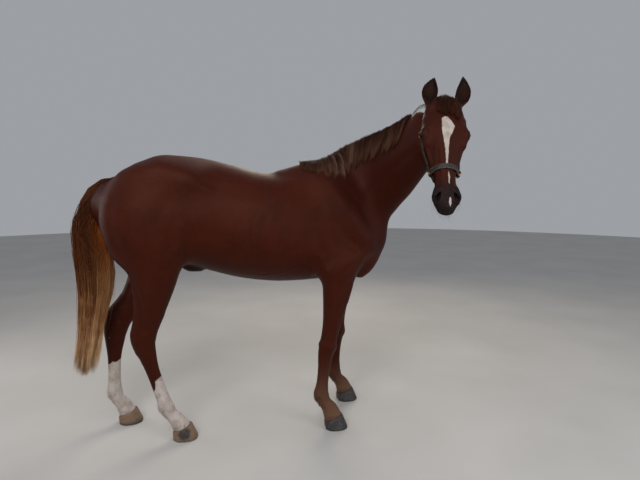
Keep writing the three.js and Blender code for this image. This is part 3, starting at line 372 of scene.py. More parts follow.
# ---- ears, eye openings, nostrils and mouth, cut and added in the same field

ears = {
    "right": {"root": (6, -62, -32), "tip": (-160, -43, -14), "opens": (0.1, -0.18, 1), "bow": -14},
    "left": {"root": (6, 55, -32), "tip": (-172, 102, -14), "opens": (0.1, 0.3, 1), "bow": 22},
    "stations": [  # share of the length, half width, half depth
        (-0.16, 20, 19), (0, 24, 22), (0.18, 31, 25), (0.4, 40, 25), (0.62, 38, 20), (0.82, 24, 13),
        (0.93, 13, 8), (1, 4, 4),
    ],
    "cup": [  # share, half width, half depth behind, of the hollow
        (0.1, 7, 6), (0.2, 17, 15), (0.4, 34, 19), (0.62, 31, 13.5), (0.76, 18, 7), (0.84, 7, 3),
    ],
    "spare": 3.0,  # how much sturdier their walls are while the mesh is made
}


def earLine(ear, share):  # a point on the ear's middle line, in head millimetres
    root, tip = np.array(ear["root"], float), np.array(ear["tip"], float)
    front = squareTo(np.array(ear["opens"], float), unit(tip - root))
    across = np.cross(front, unit(tip - root))
    bow = ear["bow"] * math.sin(math.pi * max(share, 0))
    return root + (tip - root) * share - across * bow - front * 10 * max(share, 0) ** 2, front, across


def earForm(ear, spare):
    facing = earLine(ear, 0.5)[1]
    shell, hollow = [], []
    for share, wide, deep in ears["stations"]:
        shell.append([*earLine(ear, share)[0], wide, deep * 0.62, deep])
    for share, wide, deep in ears["cup"]:
        middle, front, _ = earLine(ear, share)
        hollow.append([*(middle + front * (2 + spare)), max(wide - spare, 2), 46, max(deep - spare, 2)])
    return [tube(shell, facing, 16, headMatrix), tube(hollow, facing, 3, headMatrix, "cut")]


eyes = {
    "radius": 20,
    "ways": (0.06, 0.96, 0.26),
    "along": (1, 0, -0.12),  # of the opening, towards its front corner
    "halfLong": 18.5, "halfHigh": 11.5,
    "lidThick": 2.6,
    "pit": 5,  # how far out of the ball's middle the opening's floor lies
}


def eyeFacts(side, name):
    middle = np.mean(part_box("eye_" + name), axis=0) - shift
    forward, sideways, upward = eyes["ways"]
    out = headWay(forward, side * sideways, upward)
    along = squareTo(headWay(*eyes["along"]), out)
    up = np.cross(out, along) * side
    return middle, out, along, up if up @ headWay(0, 0, 1) > 0 else -up


eyePlaces = {name: eyeFacts(side, name) for side, name in ((-1, "right"), (1, "left"))}


def eyeForm(middle, out, along, up):
    ball = eyes["radius"] / 1000
    long, high = eyes["halfLong"] / 1000, eyes["halfHigh"] / 1000
    radius = (long * long + high * high) / (2 * high)  # of the two arcs of the opening
    drop = radius - high
    lid = ball + eyes["lidThick"] / 1000

    def opening(p):
        w = p - middle
        u, v, depth = w @ along, w @ up, w @ out
        lens = np.maximum(np.hypot(u, v + drop), np.hypot(u, v - drop)) - radius
        return np.maximum(lens, eyes["pit"] / 1000 - depth)

    def step(kind, blend, reach, distance):
        low, high = middle - reach, middle + reach
        return {"kind": kind, "blend": blend, "low": low, "high": high, "distance": distance}

    rims = []
    for edge, thick in ((1, 2.3), (-1, 1.7)):  # the edges of the upper and the lower lid
        rows = []
        for u in long * np.linspace(-1.02, 1.02, 11):
            v = edge * (math.sqrt(max(radius * radius - u * u, 0)) - drop) * 1.06
            w = math.sqrt(max(ball ** 2 - u * u - v * v, 1e-6)) + 0.0016
            rows.append([*((middle + along * u + up * v + out * w) * 1000), thick, thick, thick])
        rims.append(tube(rows, out, 3.2))
    lids = step("add", 0.012, lid + 0.012, lambda p: lengthOf(p - middle) - lid)
    return [lids, *rims, step("cut", 0.0016, ball + 0.012, opening)]


nostrils = {"x": 484, "y": 24, "z": -64, "rim": 4.6, "long": 18, "narrow": 9.5}


def nostrilPlace(side):
    out = headWay(0.5, side * 0.74, 0.45)
    start = onHead(nostrils["x"], side * nostrils["y"], nostrils["z"]) + out * 0.2
    return land(plainBody, [start], -out)[0], out


def nostrilForm(side):
    at, out = nostrilPlace(side)
    along = squareTo(headWay(0.6, side * 0.1, -0.8), out)
    across = np.cross(along, out)
    inward = unit(headWay(-0.9, -side * 0.25, -0.25) * 0.55 - out * 0.45)
    long, narrow = nostrils["long"], nostrils["narrow"]
    rim = []
    for a in np.radians(np.linspace(-165, 165, 13)):  # round the nostril's wing and into its upper corner
        share = (1.12 if abs(a) < 2.2 else 0.95) / 1000
        p = at + (along * long * math.cos(a) + across * narrow * math.sin(a)) * share - out * 0.001
        thick = nostrils["rim"] * (1.15 if math.cos(a) > 0 else 0.8)
        rim.append([*(p * 1000), thick, thick, thick])
    hole = []
    for deep, size in ((-0.012, 1.05), (0.002, 0.95), (0.016, 0.8), (0.034, 0.5)):
        hole.append([*((at + inward * deep) * 1000), narrow * size, long * size, long * size])
    return [tube(rim, out, 5), tube(hole, along, 4, None, "cut")]


mouth = {"x": 458, "z": -110, "height": 1.5, "deep": 8, "corner": 112}


def mouthForm():
    rows = []
    for t in np.linspace(-1, 1, 15):
        a = math.radians(t * mouth["corner"])
        out = headWay(math.cos(a), math.sin(a), 0)
        p = land(plainBody, [onHead(mouth["x"], 0, mouth["z"]) + out * 0.2], -out)[0]
        deep = mouth["deep"] * (1 - 0.7 * abs(t) ** 6)
        rows.append([*(p * 1000), deep, mouth["height"], mouth["height"]])
    return [tube(rows, headWay(0, 0, 1), 3, None, "cut")]


def skinForm(spare):  # `spare` makes the ears' walls sturdier
    shells = [step for name in eyePlaces for step in earForm(ears[name], spare)]
    return fieldOf(fleshSteps + shells + features)


features = [step for facts in eyePlaces.values() for step in eyeForm(*facts)]
features += [*nostrilForm(-1), *nostrilForm(1), *mouthForm()]
skinField, sturdyField = skinForm(0.0), skinForm(ears["spare"])
skinLevel = -0.0015  # the skin lies this far inside the solids

# ---- the skin: surface nets over a grid that is finer round the head and the legs


def gridLines(spans, end):
    lines = []
    for low, high, step in spans:
        count = max(round((high - low) / step), 1)
        lines += list(low + (high - low) * np.arange(count) / count)
    return np.array(lines + [end])


skinGrid = [  # x, y and z: low, high and step of each band, and the end
    ([(-0.93, -0.84, 0.010), (-0.84, -0.34, 0.007), (-0.34, 0.36, 0.011), (0.36, 0.67, 0.007),
      (0.67, 0.76, 0.007), (0.76, 1.06, 0.004)], 1.06),
    ([(-0.80, -0.37, 0.004), (-0.37, -0.21, 0.010), (-0.21, -0.07, 0.0062), (-0.07, 0.07, 0.011),
      (0.07, 0.21, 0.0062), (0.21, 0.27, 0.010)], 0.27),
    ([(0.03, 0.62, 0.0075), (0.62, 1.20, 0.011), (1.20, 1.50, 0.0068), (1.50, 1.76, 0.0042),
      (1.76, 1.96, 0.0033)], 1.96),
]
skinTriangles = 196000
blockSize = 4


def spreadOut(blocks):  # gives every cell its block's value
    for axis in range(3):
        blocks = np.repeat(blocks, blockSize, axis)
    return blocks


def surfaceNets(field, level, grid):
    lines, middles, spans = [], [], []
    for line in (gridLines(*bands) for bands in grid):
        extra = (-(len(line) - 1)) % blockSize  # up to whole blocks
        line = np.concatenate([line, line[-1] + (line[-1] - line[-2]) * np.arange(1, extra + 1)])
        lines.append(line)
        middles.append((line[:-1:blockSize] + line[blockSize::blockSize]) / 2)
        spans.append((line[blockSize::blockSize] - line[:-1:blockSize]) / 2)
    centres = np.stack(np.meshgrid(*middles, indexing="ij"), -1)
    reach = lengthOf(np.stack(np.meshgrid(*spans, indexing="ij"), -1))
    coarse = field(centres.reshape(-1, 3)).reshape(reach.shape) - level
    cells = spreadOut(np.abs(coarse) < reach * 1.25 + 0.002)
    values = np.pad(spreadOut(coarse), ((0, 1), (0, 1), (0, 1)), mode="edge").astype(np.float32)
    wanted = np.zeros(values.shape, bool)
    for corner in np.ndindex(2, 2, 2):
        wanted[tuple(slice(k, k + count) for k, count in zip(corner, cells.shape))] |= cells

    def spots(at):
        return np.stack([line[index] for line, index in zip(lines, at.T)], 1)

    at = np.argwhere(wanted)
    parts = np.array_split(spots(at), max(len(at) // 60000, 1))
    values[tuple(at.T)] = np.concatenate([field(part) for part in parts]) - level
    inside = values < 0
    strides = np.array([inside.shape[1] * inside.shape[2], inside.shape[2], 1])
    edgeCells, edgePoints = [], []
    for axis in range(3):
        u, v = strides[(axis + 1) % 3], strides[(axis + 2) % 3]
        at = np.argwhere(np.diff(inside, axis=axis))
        past = at.copy()
        past[:, axis] += 1
        f, g = values[tuple(at.T)], values[tuple(past.T)]
        a, b = spots(at), spots(past)
        base = at @ strides
        ring = np.stack([base, base - u, base - u - v, base - v], 1)
        flip = ~inside[tuple(at.T)]
        ring[flip] = ring[flip][:, ::-1]
        edgeCells.append(ring.ravel())
        edgePoints.append(np.repeat(a + (b - a) * (f / (f - g))[:, None], 4, axis=0))
    _, inverse = np.unique(np.concatenate(edgeCells), return_inverse=True)
    edgePoints = np.concatenate(edgePoints)
    vertices = np.stack([np.bincount(inverse, edgePoints[:, n]) / np.bincount(inverse) for n in range(3)], 1)
    return vertices, inverse.reshape(-1, 4)


def meshObject(name, vertices, faces):
    mesh = bpy.data.meshes.new(name)
    faces = np.asarray(faces)
    size = faces.shape[1]
    mesh.vertices.add(len(vertices))
    mesh.vertices.foreach_set("co", np.asarray(vertices, np.float32).ravel())
    mesh.loops.add(faces.size)
    mesh.loops.foreach_set("vertex_index", faces.astype(np.int32).ravel())
    mesh.polygons.add(len(faces))
    mesh.polygons.foreach_set("loop_start", np.arange(0, faces.size, size, dtype=np.int32))
    mesh.update(calc_edges=True)
    mesh.validate()
    thing = bpy.data.objects.new(name, mesh)
    bpy.context.scene.collection.objects.link(thing)
    return thing


def onlySelect(thing):
    bpy.ops.object.select_all(action="DESELECT")
    thing.select_set(True)
    bpy.context.view_layer.objects.active = thing


def inEdit(thing, *steps):  # runs mesh tools over the whole piece
    onlySelect(thing)
    bpy.ops.object.mode_set(mode="EDIT")
    bpy.ops.mesh.select_all(action="SELECT")
    for step in steps:
        step()
    bpy.ops.object.mode_set(mode="OBJECT")


def closeEnds():
    bpy.ops.mesh.fill_holes(sides=0)


def faceOut():
    bpy.ops.mesh.normals_make_consistent(inside=False)


def values(items, what, size=3):  # one measure of every vertex or face
    flat = np.empty(len(items) * size, np.float32)
    items.foreach_get(what, flat)
    return flat.reshape(-1, size).astype(float)


def coordinates(thing):
    return values(thing.data.vertices, "co")


def moveTo(thing, points):
    thing.data.vertices.foreach_set("co", points.astype(np.float32).ravel())
    thing.data.update()


def smooth(thing):
    thing.data.polygons.foreach_set("use_smooth", np.ones(len(thing.data.polygons), bool))
    thing.data.update()


netPoints, netFaces = surfaceNets(sturdyField, skinLevel, skinGrid)
skin = meshObject("skin", settle(sturdyField, netPoints, skinLevel), netFaces)
inEdit(skin, closeEnds)  # the legs' lower ends, inside the hooves
print("skin cells", len(netFaces))


def modify(thing, kind, weights, **settings):  # with a weight for each vertex
    group = thing.vertex_groups.new(name=kind.lower())
    steps = np.round(weights, 1)
    for step in np.unique(steps[steps > 0]):
        group.add([int(i) for i in np.nonzero(steps == step)[0]], float(step), "REPLACE")
    onlySelect(thing)
    modifier = thing.modifiers.new(kind.lower(), kind)
    modifier.vertex_group = group.name
    for key, value in settings.items():
        setattr(modifier, key, value)
    bpy.ops.object.modifier_apply(modifier=modifier.name)


soften = {
    "turns": 24, "legs": (0.72, 1.0), "head": (0.20, 0.34),
    "sheath": (-0.33, 0.09, 0.07, 0.99),  # middle, half length, half width and top of the part left alone
    "croup": (-0.59, 0.03, 1.47), "croupReach": (0.10, 0.26), "croupTurns": 110,
}


def softenBody(thing):  # takes the creases out of the trunk and the neck
    points = coordinates(thing)
    x, y, z = points.T
    middle, half, wide, top = soften["sheath"]
    weights = smoothStep(*soften["legs"], z)
    weights *= smoothStep(*soften["head"], lengthOf(points - headMatrix[:3, 3]))
    weights[(np.abs(y) < wide) & (np.abs(x - middle) < half) & (z < top)] = 0
    croup = 1 - smoothStep(*soften["croupReach"], lengthOf(points - soften["croup"]))
    modify(thing, "SMOOTH", weights, iterations=soften["turns"])
    modify(thing, "SMOOTH", croup, iterations=soften["croupTurns"])


softenBody(skin)
nostrilPlaces = [nostrilPlace(side)[0] for side in (-1, 1)]


def headLocal(points):  # the drawing's metres to head millimetres
    return (points - headMatrix[:3, 3]) @ headTurn * 1000


def refine(thing, near, field, limit):  # one more cut of the faces near by, then back on the form
    mesh = bmesh.new()
    mesh.from_mesh(thing.data)
    mesh.verts.ensure_lookup_table()
    chosen = np.nonzero(near(coordinates(thing)))[0]
    edges = {e for i in chosen for f in mesh.verts[i].link_faces for e in f.edges}
    bmesh.ops.subdivide_edges(mesh, edges=list(edges), cuts=1, use_grid_fill=True)
    bmesh.ops.triangulate(mesh, faces=[f for f in mesh.faces if len(f.verts) > 4])
    mesh.to_mesh(thing.data)
    mesh.free()
    settlePart(thing, near(coordinates(thing)), field, limit, 2)


def settlePart(thing, part, field, limit, turns):
    points = coordinates(thing)
    points[part] = settle(field, points[part], skinLevel, limit, turns)
    moveTo(thing, points)


def nearAny(points, middles, reach):
    return np.any([lengthOf(points - middle) < reach for middle in middles], axis=0)


def nearFeatures(points):
    x, y, z = headLocal(points).T
    chosen = nearAny(points, eyeMiddles, 0.034) | nearAny(points, nostrilPlaces, 0.033)
    chosen |= (x > 440) & (np.abs(z + 110) < 11) | (x < -30)
    return chosen & (x > -200) & (np.abs(y) < 140) & (z > -140)


eyeMiddles = [facts[0] for facts in eyePlaces.values()]
refine(skin, nearFeatures, sturdyField, 0.002)
refine(skin, lambda points: nearAny(points, eyeMiddles, 0.0285), sturdyField, 0.0015)
x, y, z = headLocal(coordinates(skin)).T
settlePart(skin, (x < 20) & (x > -200) & (np.abs(y) < 150) & (z > -70), skinField, 0.0016, 4)
print("skin refined", len(skin.data.polygons))

# ---- muscles, tendons, veins and folds, drawn over the skin as soft strokes


def awayFromLine(points, line):  # distance to a polyline, and the share of its length there
    if len(line) == 1:
        return lengthOf(points - line[0]), np.full(len(points), 0.5)
    best = np.full(len(points), 9.0)
    share = np.zeros(len(points))
    steps = lengthOf(np.diff(line, axis=0))
    runs = np.concatenate([[0], np.cumsum(steps)])
    for i in range(len(line) - 1):
        span = line[i + 1] - line[i]
        t = np.clip((points - line[i]) @ span / (span @ span), 0, 1)
        d = lengthOf(points - line[i] - t[:, None] * span)
        closer = d < best
        best[closer] = d[closer]
        share[closer] = (runs[i] + steps[i] * t[closer]) / runs[-1]
    return best, share


def onSkin(starts, ways, turns=60):
    return land(skinField, starts, ways, skinLevel, turns)


def onSkinFrom(places):  # pairs of a start and a way
    starts, ways = zip(*places)
    return onSkin(starts, np.array(ways))


def fromSide(side, line):  # (x, z) in mm, seen from one side
    return onSkin([(x / 1000, side * 0.5, z / 1000) for x, z in line], yWay * -side)


def legPoint(name, z, turn):  # turn from straight ahead, towards the horse's outside
    rows = np.array(legRows[name], float)
    k = max(int(np.argmax(rows[:, 2] <= z)), 1)
    t = (rows[k - 1, 2] - z) / (rows[k - 1, 2] - rows[k, 2])
    middle = (rows[k - 1, :3] * (1 - t) + rows[k, :3] * t) / 1000
    a = math.radians(turn)
    way = np.array((math.cos(a), (-1 if "Right" in name else 1) * math.sin(a), 0.0))
    return middle + way * 0.11, -way


def neckPoint(u, turn):  # turn from the crest, positive towards the left
    rows = np.array(neckRows, float)[:, :3] / 1000
    at = np.clip(u, 0, 1) * (len(rows) - 1)
    k = min(int(at), len(rows) - 2)
    t = at - k
    a, b, c, d = (rows[min(max(k + n, 0), len(rows) - 1)] for n in (-1, 0, 1, 2))
    along = unit(catmull(a, b, c, d, min(t + 0.05, 1)) - catmull(a, b, c, d, max(t - 0.05, 0)))
    rise = squareTo(zWay, along)
    turn = math.radians(turn)
    way = rise * math.cos(turn) + np.cross(rise, along) * math.sin(turn)
    return catmull(a, b, c, d, t) + way * 0.42, -way


def headPoint(side, x, turn):  # mm down the face, turn from the forehead to the jaw
    a = math.radians(turn)
    way = headWay(0, side * math.sin(a), math.cos(a))
    return onHead(x, 0, -90) + way * 0.25, -way


def roundEye(facts, long, high, turns, lift):  # an arc about the opening, in mm and degrees
    middle, out, along, up = facts
    a = np.radians(np.linspace(*turns, 7))[:, None]
    arc = (along * long * np.cos(a) + up * (high * np.sin(a) + lift)) / 1000
    return onSkin(middle + arc + out * 0.1, -out)


torsoStrokes = [  # (x, z) from the side in mm, then height and half width in mm
    ([(415, 1400), (470, 1300), (520, 1190)], 2.5, 22),  # spine of the shoulder blade
    ([(455, 1420), (540, 1310), (620, 1200), (662, 1110)], -3, 30),  # before the shoulder
    ([(330, 1200), (345, 1080), (385, 980)], -6, 28),  # behind the triceps
    ([(420, 1215), (495, 1110), (560, 1030), (590, 990)], -4, 22),  # over the triceps
    ([(440, 1160), (450, 1060), (440, 985)], 4, 34),
    ([(640, 1075)], 5, 34),  # point of the shoulder
    ([(400, 902)], 7, 24),  # elbow
    ([(585, 960), (520, 920), (455, 870)], -4, 20),  # arm and forearm
    ([(-335, 1310)], -8, 70),  # hollow of the flank
    ([(-352, 1190), (-368, 1100), (-395, 1010)], 6, 24),  # fold of the flank
    ([(-300, 1120), (-330, 1030), (-370, 960)], -6, 26),
    ([(-312, 1396)], 4, 46),  # hip
    ([(-395, 1320), (-455, 1210), (-470, 1080)], -3.5, 34),  # before the thigh
    ([(-655, 1330), (-688, 1230), (-676, 1100), (-640, 990)], -3.2, 26),  # hamstring groove
    ([(-560, 1300), (-590, 1150), (-560, 1010)], 4, 50),
    ([(-425, 985)], 7, 30),  # kneecap
    ([(-700, 1385)], 5, 30),  # seat bone
    ([(300, 985), (200, 905), (60, 880), (-60, 892)], 1.6, 5),  # vein of the belly
    ([(120, 1310), (-60, 1330), (-240, 1350)], -2.5, 34),  # edge of the back muscle
]
for k in range(7):  # ribs
    torsoStrokes.append(([(110 - 58 * k, 1240), (85 - 60 * k, 1120), (95 - 60 * k, 1000)], 1.5, 12))

legStrokes = {  # (height, turn) round the leg, then height and half width in mm
    "hind": [
        ([(850, 150), (760, 130), (680, 118), (630, 112)], -6, 14), ([(820, -140), (680, -118)], -6, 14),
        ([(880, 50), (760, 55), (680, 50)], -3.5, 13), ([(700, 0), (600, 0)], 2.5, 14),
        ([(590, 78)], 5, 16), ([(590, -74)], 5, 16), ([(535, 55)], 3, 13), ([(520, -50)], 4, 15),
        ([(560, 128), (505, 132)], -3.5, 10), ([(560, -128), (505, -132)], -3.5, 10),
        ([(470, 118), (360, 116), (250, 118)], -3.2, 7), ([(470, -118), (250, -118)], -3.2, 7),
        ([(470, 78), (260, 80)], 1.4, 7), ([(840, 95), (740, 80)], 3, 26),
        ([(186, 130)], 3.5, 12), ([(186, -130)], 3.5, 12), ([(162, 180)], 5, 9),
        ([(128, 165), (105, 165)], -3, 12), ([(190, 20)], 2, 16), ([(505, -100)], 3, 9),
    ],
    "fore": [
        ([(860, 35), (700, 40), (560, 42)], -4, 12), ([(830, 78), (680, 84), (540, 80)], -3, 12),
        ([(850, -60), (600, -60)], -3, 14), ([(830, 15), (700, 10)], 3, 26),
        ([(640, 160), (560, 160)], -3, 12),
        ([(462, 72)], 4.5, 17), ([(462, -72)], 4.5, 17), ([(487, 168)], 8, 15), ([(455, 0)], 2.5, 20),
        ([(500, 30), (430, 30)], -2, 7), ([(430, 80)], 2.5, 10), ([(432, -80)], 2.5, 10),
        ([(410, 118), (330, 117), (245, 118)], -3.2, 7), ([(410, -118), (245, -118)], -3.2, 7),
        ([(410, 78), (250, 82)], 1.2, 7), ([(196, 132)], 3.5, 12), ([(196, -132)], 3.5, 12),
        ([(168, 180)], 5, 9), ([(132, 165), (108, 165)], -3, 12), ([(198, 18)], 2, 16), ([(560, -95)], 4, 9),
    ],
}
neckStrokes = [  # (share of the neck, turn from the crest)
    ([(0.12, 128), (0.35, 124), (0.6, 122), (0.85, 126), (0.97, 130)], -4, 26),  # jugular groove
    ([(0.1, 84), (0.4, 80), (0.7, 76), (0.95, 70)], -1.8, 34),
    ([(0.15, 38), (0.5, 34), (0.9, 34)], -1.2, 30),
    ([(0.2, 104), (0.55, 100), (0.9, 100)], 2, 34),
]
faceStrokes = [  # (mm down the face, turn from the forehead)
    ([(212, 71), (262, 74), (318, 72)], 3.2, 6), ([(222, 82), (285, 86), (330, 84)], -3, 9),
    ([(248, 92), (272, 108), (283, 126), (270, 142)], -4, 9), ([(120, 118), (160, 122), (215, 124)], 2.5, 22),
    ([(240, 34), (320, 38), (400, 42)], -2.2, 8), ([(250, 20), (330, 20), (410, 18)], 1.2, 10),
    ([(292, 128), (312, 104), (336, 84), (362, 62), (388, 50)], 1.7, 3.4),
    ([(338, 82), (372, 76), (404, 72)], 1.4, 3), ([(362, 62), (376, 44), (386, 32)], 1.2, 2.6),
    ([(104, 47)], -5, 14), ([(88, 62), (70, 70)], 3, 12), ([(70, 24), (110, 14), (150, 10)], 1.6, 12),
    ([(418, 46), (445, 48)], -3, 9), ([(430, 84), (470, 92)], -2.4, 8), ([(466, 96), (500, 88)], 2, 9),
    ([(462, 104), (452, 112), (446, 124)], -1.8, 3), ([(454, 98), (446, 104), (438, 112)], -1.2, 2.4),
    ([(470, 152), (490, 160), (500, 176)], -2.5, 7), ([(505, 180)], 3, 16),
    ([(470, 30), (490, 44), (500, 52)], 2, 6), ([(520, 12), (500, 8)], -2, 6),
]
eyeStrokes = [  # half length, half height in mm, turns, lift, then height and half width
    (26, 19, (12, 168), 2, -1.5, 2.2), (31, 25, (25, 155), 3, 1.8, 4), (34, 29, (35, 150), 5, -1.4, 2.4),
    (23, 16, (200, 345), -1, -1.1, 1.7), (29, 22, (205, 335), -2, 1, 2.6),
    (32, 27, (215, 330), -3, -0.9, 1.8),
    (21.5, 14.5, (15, 165), 1, 1, 1.4), (21, 14, (195, 345), 0, 0.8, 1.3),
]

strokes = []
for line, height, width in torsoStrokes:
    strokes += [(fromSide(side, line), height, width) for side in (-1, 1)]
for name in legRows:
    for line, height, width in legStrokes[name[:4]]:
        strokes.append((onSkinFrom(legPoint(name, z, turn) for z, turn in line), height, width))
for line, height, width in neckStrokes:
    for side in (-1, 1):
        strokes.append((onSkinFrom(neckPoint(u, side * turn) for u, turn in line), height, width))
for line, height, width in faceStrokes:
    for side in (-1, 1):
        strokes.append((onSkinFrom(headPoint(side, x, turn) for x, turn in line), height, width))
for facts in eyePlaces.values():
    strokes += [(roundEye(facts, *arc), height, width) for *arc, height, width in eyeStrokes]
strokes.append((onSkin([(0.9, 0, z) for z in (1.12, 1.04, 0.96)], -xWay), -7, 16))  # between the forelegs
strokes.append((onSkin([(-1, 0, z) for z in (1.34, 1.24, 1.12)], xWay), -9, 16))  # between the buttocks


def sculpt(thing, strokes):
    points = coordinates(thing)
    rise = np.zeros(len(points))
    for line, height, width in strokes:
        line = smoothLine(line) if len(line) > 2 else line
        reach = width / 1000 * 2.6
        near = np.nonzero(np.all((points > line.min(0) - reach) & (points < line.max(0) + reach), axis=1))[0]
        away, share = awayFromLine(points[near], line)
        fade = 1 if len(line) == 1 else np.clip(np.minimum(share, 1 - share) * 5 + 0.25, 0, 1)
        rise[near] += height / 1000 * fade * np.exp(-(away / (width / 1000)) ** 2)
    moveTo(thing, points + values(thing.data.vertex_normals, "vector") * rise[:, None])


sculpt(skin, strokes)
print("skin sculpted")


def countTriangles(thing):
    return sum(len(f.vertices) - 2 for f in thing.data.polygons)


def thinOut(thing, most):  # fewer faces, but not on the ears
    x, y, _ = headLocal(coordinates(thing)).T
    onEars = (x < -20) & (np.abs(y) < 150) & (coordinates(thing)[:, 2] > 1.7)
    modify(thing, "DECIMATE", np.where(onEars, 0.0, 1.0), ratio=most / countTriangles(thing))


thinOut(skin, skinTriangles)
print("skin triangles", countTriangles(skin))

# ---- masks over the skin: the lie of the coat, the markings, the dark places
markings = {
    "strips": {  # mm down the face, middle towards the left, half width
        "blaze": [(86, 0, 0), (106, -6, 15), (126, 2, 24), (144, 7.5, 30), (174, 3.5, 25), (204, -1.5, 14.5),
                  (247, -0.5, 8.5), (301, 1, 5), (337, -1, 3), (352, 2, 0)],
        "strip": [(362, 7, 0), (375, 8, 3), (400, 9, 4), (425, 8, 2.5), (436, 8, 0)],
        "snip": [(492, 11, 0), (504, 12, 5), (522, 12, 5), (536, 12, 0)],
    },
    "stockings": {"hindRight": (345, 70), "hindLeft": (378, 34)},  # upper edge, and its drop round the rear
    "scar": ((-0.792, 0.083, 0.513), 0.006),
    "tan": {"foreRight": 0.46, "foreLeft": 0.30},  # how high it fades out
    "outside": -20,  # mm from any marking
}


def stripMask(local, rows):  # signed, positive inside, in mm
    x, y, z = local.T
    at, middles, halves = np.array(rows, float).T
    far = markings["outside"]
    half = np.interp(x, at, halves, left=far, right=far)
    return np.where(z > -75, half - np.abs(y - np.interp(x, at, middles)), far)


def legAxis(name, points):  # distance from the leg's axis, and turn round it
    x, y, z = points.T
    rows = np.array(legRows[name], float)[::-1] / 1000
    x, y = x - np.interp(z, rows[:, 2], rows[:, 0]), y - np.interp(z, rows[:, 2], rows[:, 1])
    return np.hypot(x, y), np.degrees(np.arctan2(y * (-1 if "Right" in name else 1), x))


def nearLeg(name, points, reach=0.11):
    return (legAxis(name, points)[0] < reach) & (points[:, 2] < 0.7)


def skinMasks(points):
    local = headLocal(points)
    x, y, z = points.T
    down, _, level = local.T
    headSide = (points - (0.72, -0.2, 1.45)) @ unit((0.5, -0.86, 0.1))
    headShare = smoothStep(0.12, 0.30, headSide) * smoothStep(1.25, 1.35, z)
    headShare = np.where(down < 40, headShare, np.where(headSide > 0.1, 1, 0)) * (z > 1.2)
    neckShare = smoothStep(0.44, 0.60, x + (z - 1.2) * 0.5) * (z > 0.98) * (1 - headShare)
    legShare = 1 - smoothStep(0.80, 1.02, z)

    far = markings["outside"]
    white = np.max([stripMask(local, rows) for rows in markings["strips"].values()], axis=0)
    white = np.where(headShare > 0.5, white, far)
    for name, (top, drop) in markings["stockings"].items():
        turn = np.radians(legAxis(name, points)[1])
        edge = top - drop * smoothStep(0.2, 1, -np.cos(turn)) + 9 * np.sin(2 * turn + 1)
        sock = np.clip((edge - z * 1000) * 0.6, far, -far)
        white = np.where(nearLeg(name, points), np.maximum(white, sock), white)
    scar, size = markings["scar"]
    white = np.maximum(white, (size - lengthOf(points - scar)) * 1000)
    white = np.clip(white / (-2 * far) + 0.5, 0, 1)  # half way at the edge

    dark = smoothStep(392, 470, down + np.clip(-level - 60, 0, 60) * 0.5) * headShare
    for middle, _, along, up in eyePlaces.values():
        w = points - middle
        away = np.hypot(w @ along * 1000 / 24, w @ up * 1000 / 16.5)
        lids = np.where(lengthOf(w) < 0.06, 1 - smoothStep(0.85, 1.45, away), 0)
        dark = np.maximum(dark, lids)
    sheath = (z < 0.94) & (np.abs(y) < 0.05) & (np.abs(x + 0.31) < 0.09)
    dark = np.where(sheath, np.maximum(dark, 1 - smoothStep(0.9, 0.945, z)), dark)

    tan = np.zeros(len(points))
    for name, high in markings["tan"].items():
        fade = np.clip((high - z) / (high - 0.09), 0, 1) ** 1.7 * 0.9
        tan = np.where(nearLeg(name, points), np.maximum(tan, fade), tan)

    # painted shade: masks that darken the ear hollows and the upper part of each ear, towards its tip
    cup = np.zeros(len(points))
    rim = np.zeros(len(points))
    for ear in (ears[name] for name in eyePlaces):
        root, tip = np.array(ear["root"], float), np.array(ear["tip"], float)
        for share, wide, deep in ears["cup"]:
            middle, front, across = earLine(ear, share)
            w = local - (middle + front * 2)
            f = w @ front
            inside = np.hypot(w @ across / (wide + 3), np.where(f > 0, f / 46, f / (deep + 3)))
            cup = np.maximum(cup, (1 - smoothStep(0.9, 1.12, inside)) * (np.abs(w @ unit(tip - root)) < 26))
        rim = np.maximum(rim, 1 - smoothStep(20, 75, lengthOf(local - tip)))
    # painted shade: a mask that darkens in and round the nostrils
    away = np.min([lengthOf(points - middle) for middle in nostrilPlaces], axis=0)
    nose = 1 - smoothStep(0.006, 0.02, away)
    # painted light: the back takes a paler, greyer colour as a painted highlight from above, and the belly a
    # darker one as painted shade underneath
    back = smoothStep(1.30, 1.52, z) * (1 - neckShare) * (1 - headShare)
    belly = (1 - smoothStep(0.84, 1.0, z)) * (1 - legShare * 0.5) * (np.abs(y) < 0.2)
    return {
        "lie": np.stack([1 - legShare, neckShare, headShare, legShare], 1),
        "marks": np.stack([white, dark, tan, rim], 1),
        "shades": np.stack([cup, nose, back, belly], 1),
    }


def writeAttribute(thing, name, values):
    layer = thing.data.attributes.new(name, "FLOAT_COLOR", "POINT")
    layer.data.foreach_set("color", np.asarray(values, np.float32).ravel())


for name, mask in skinMasks(coordinates(skin)).items():
    writeAttribute(skin, name, mask)
print("skin masked")

# ---- materials


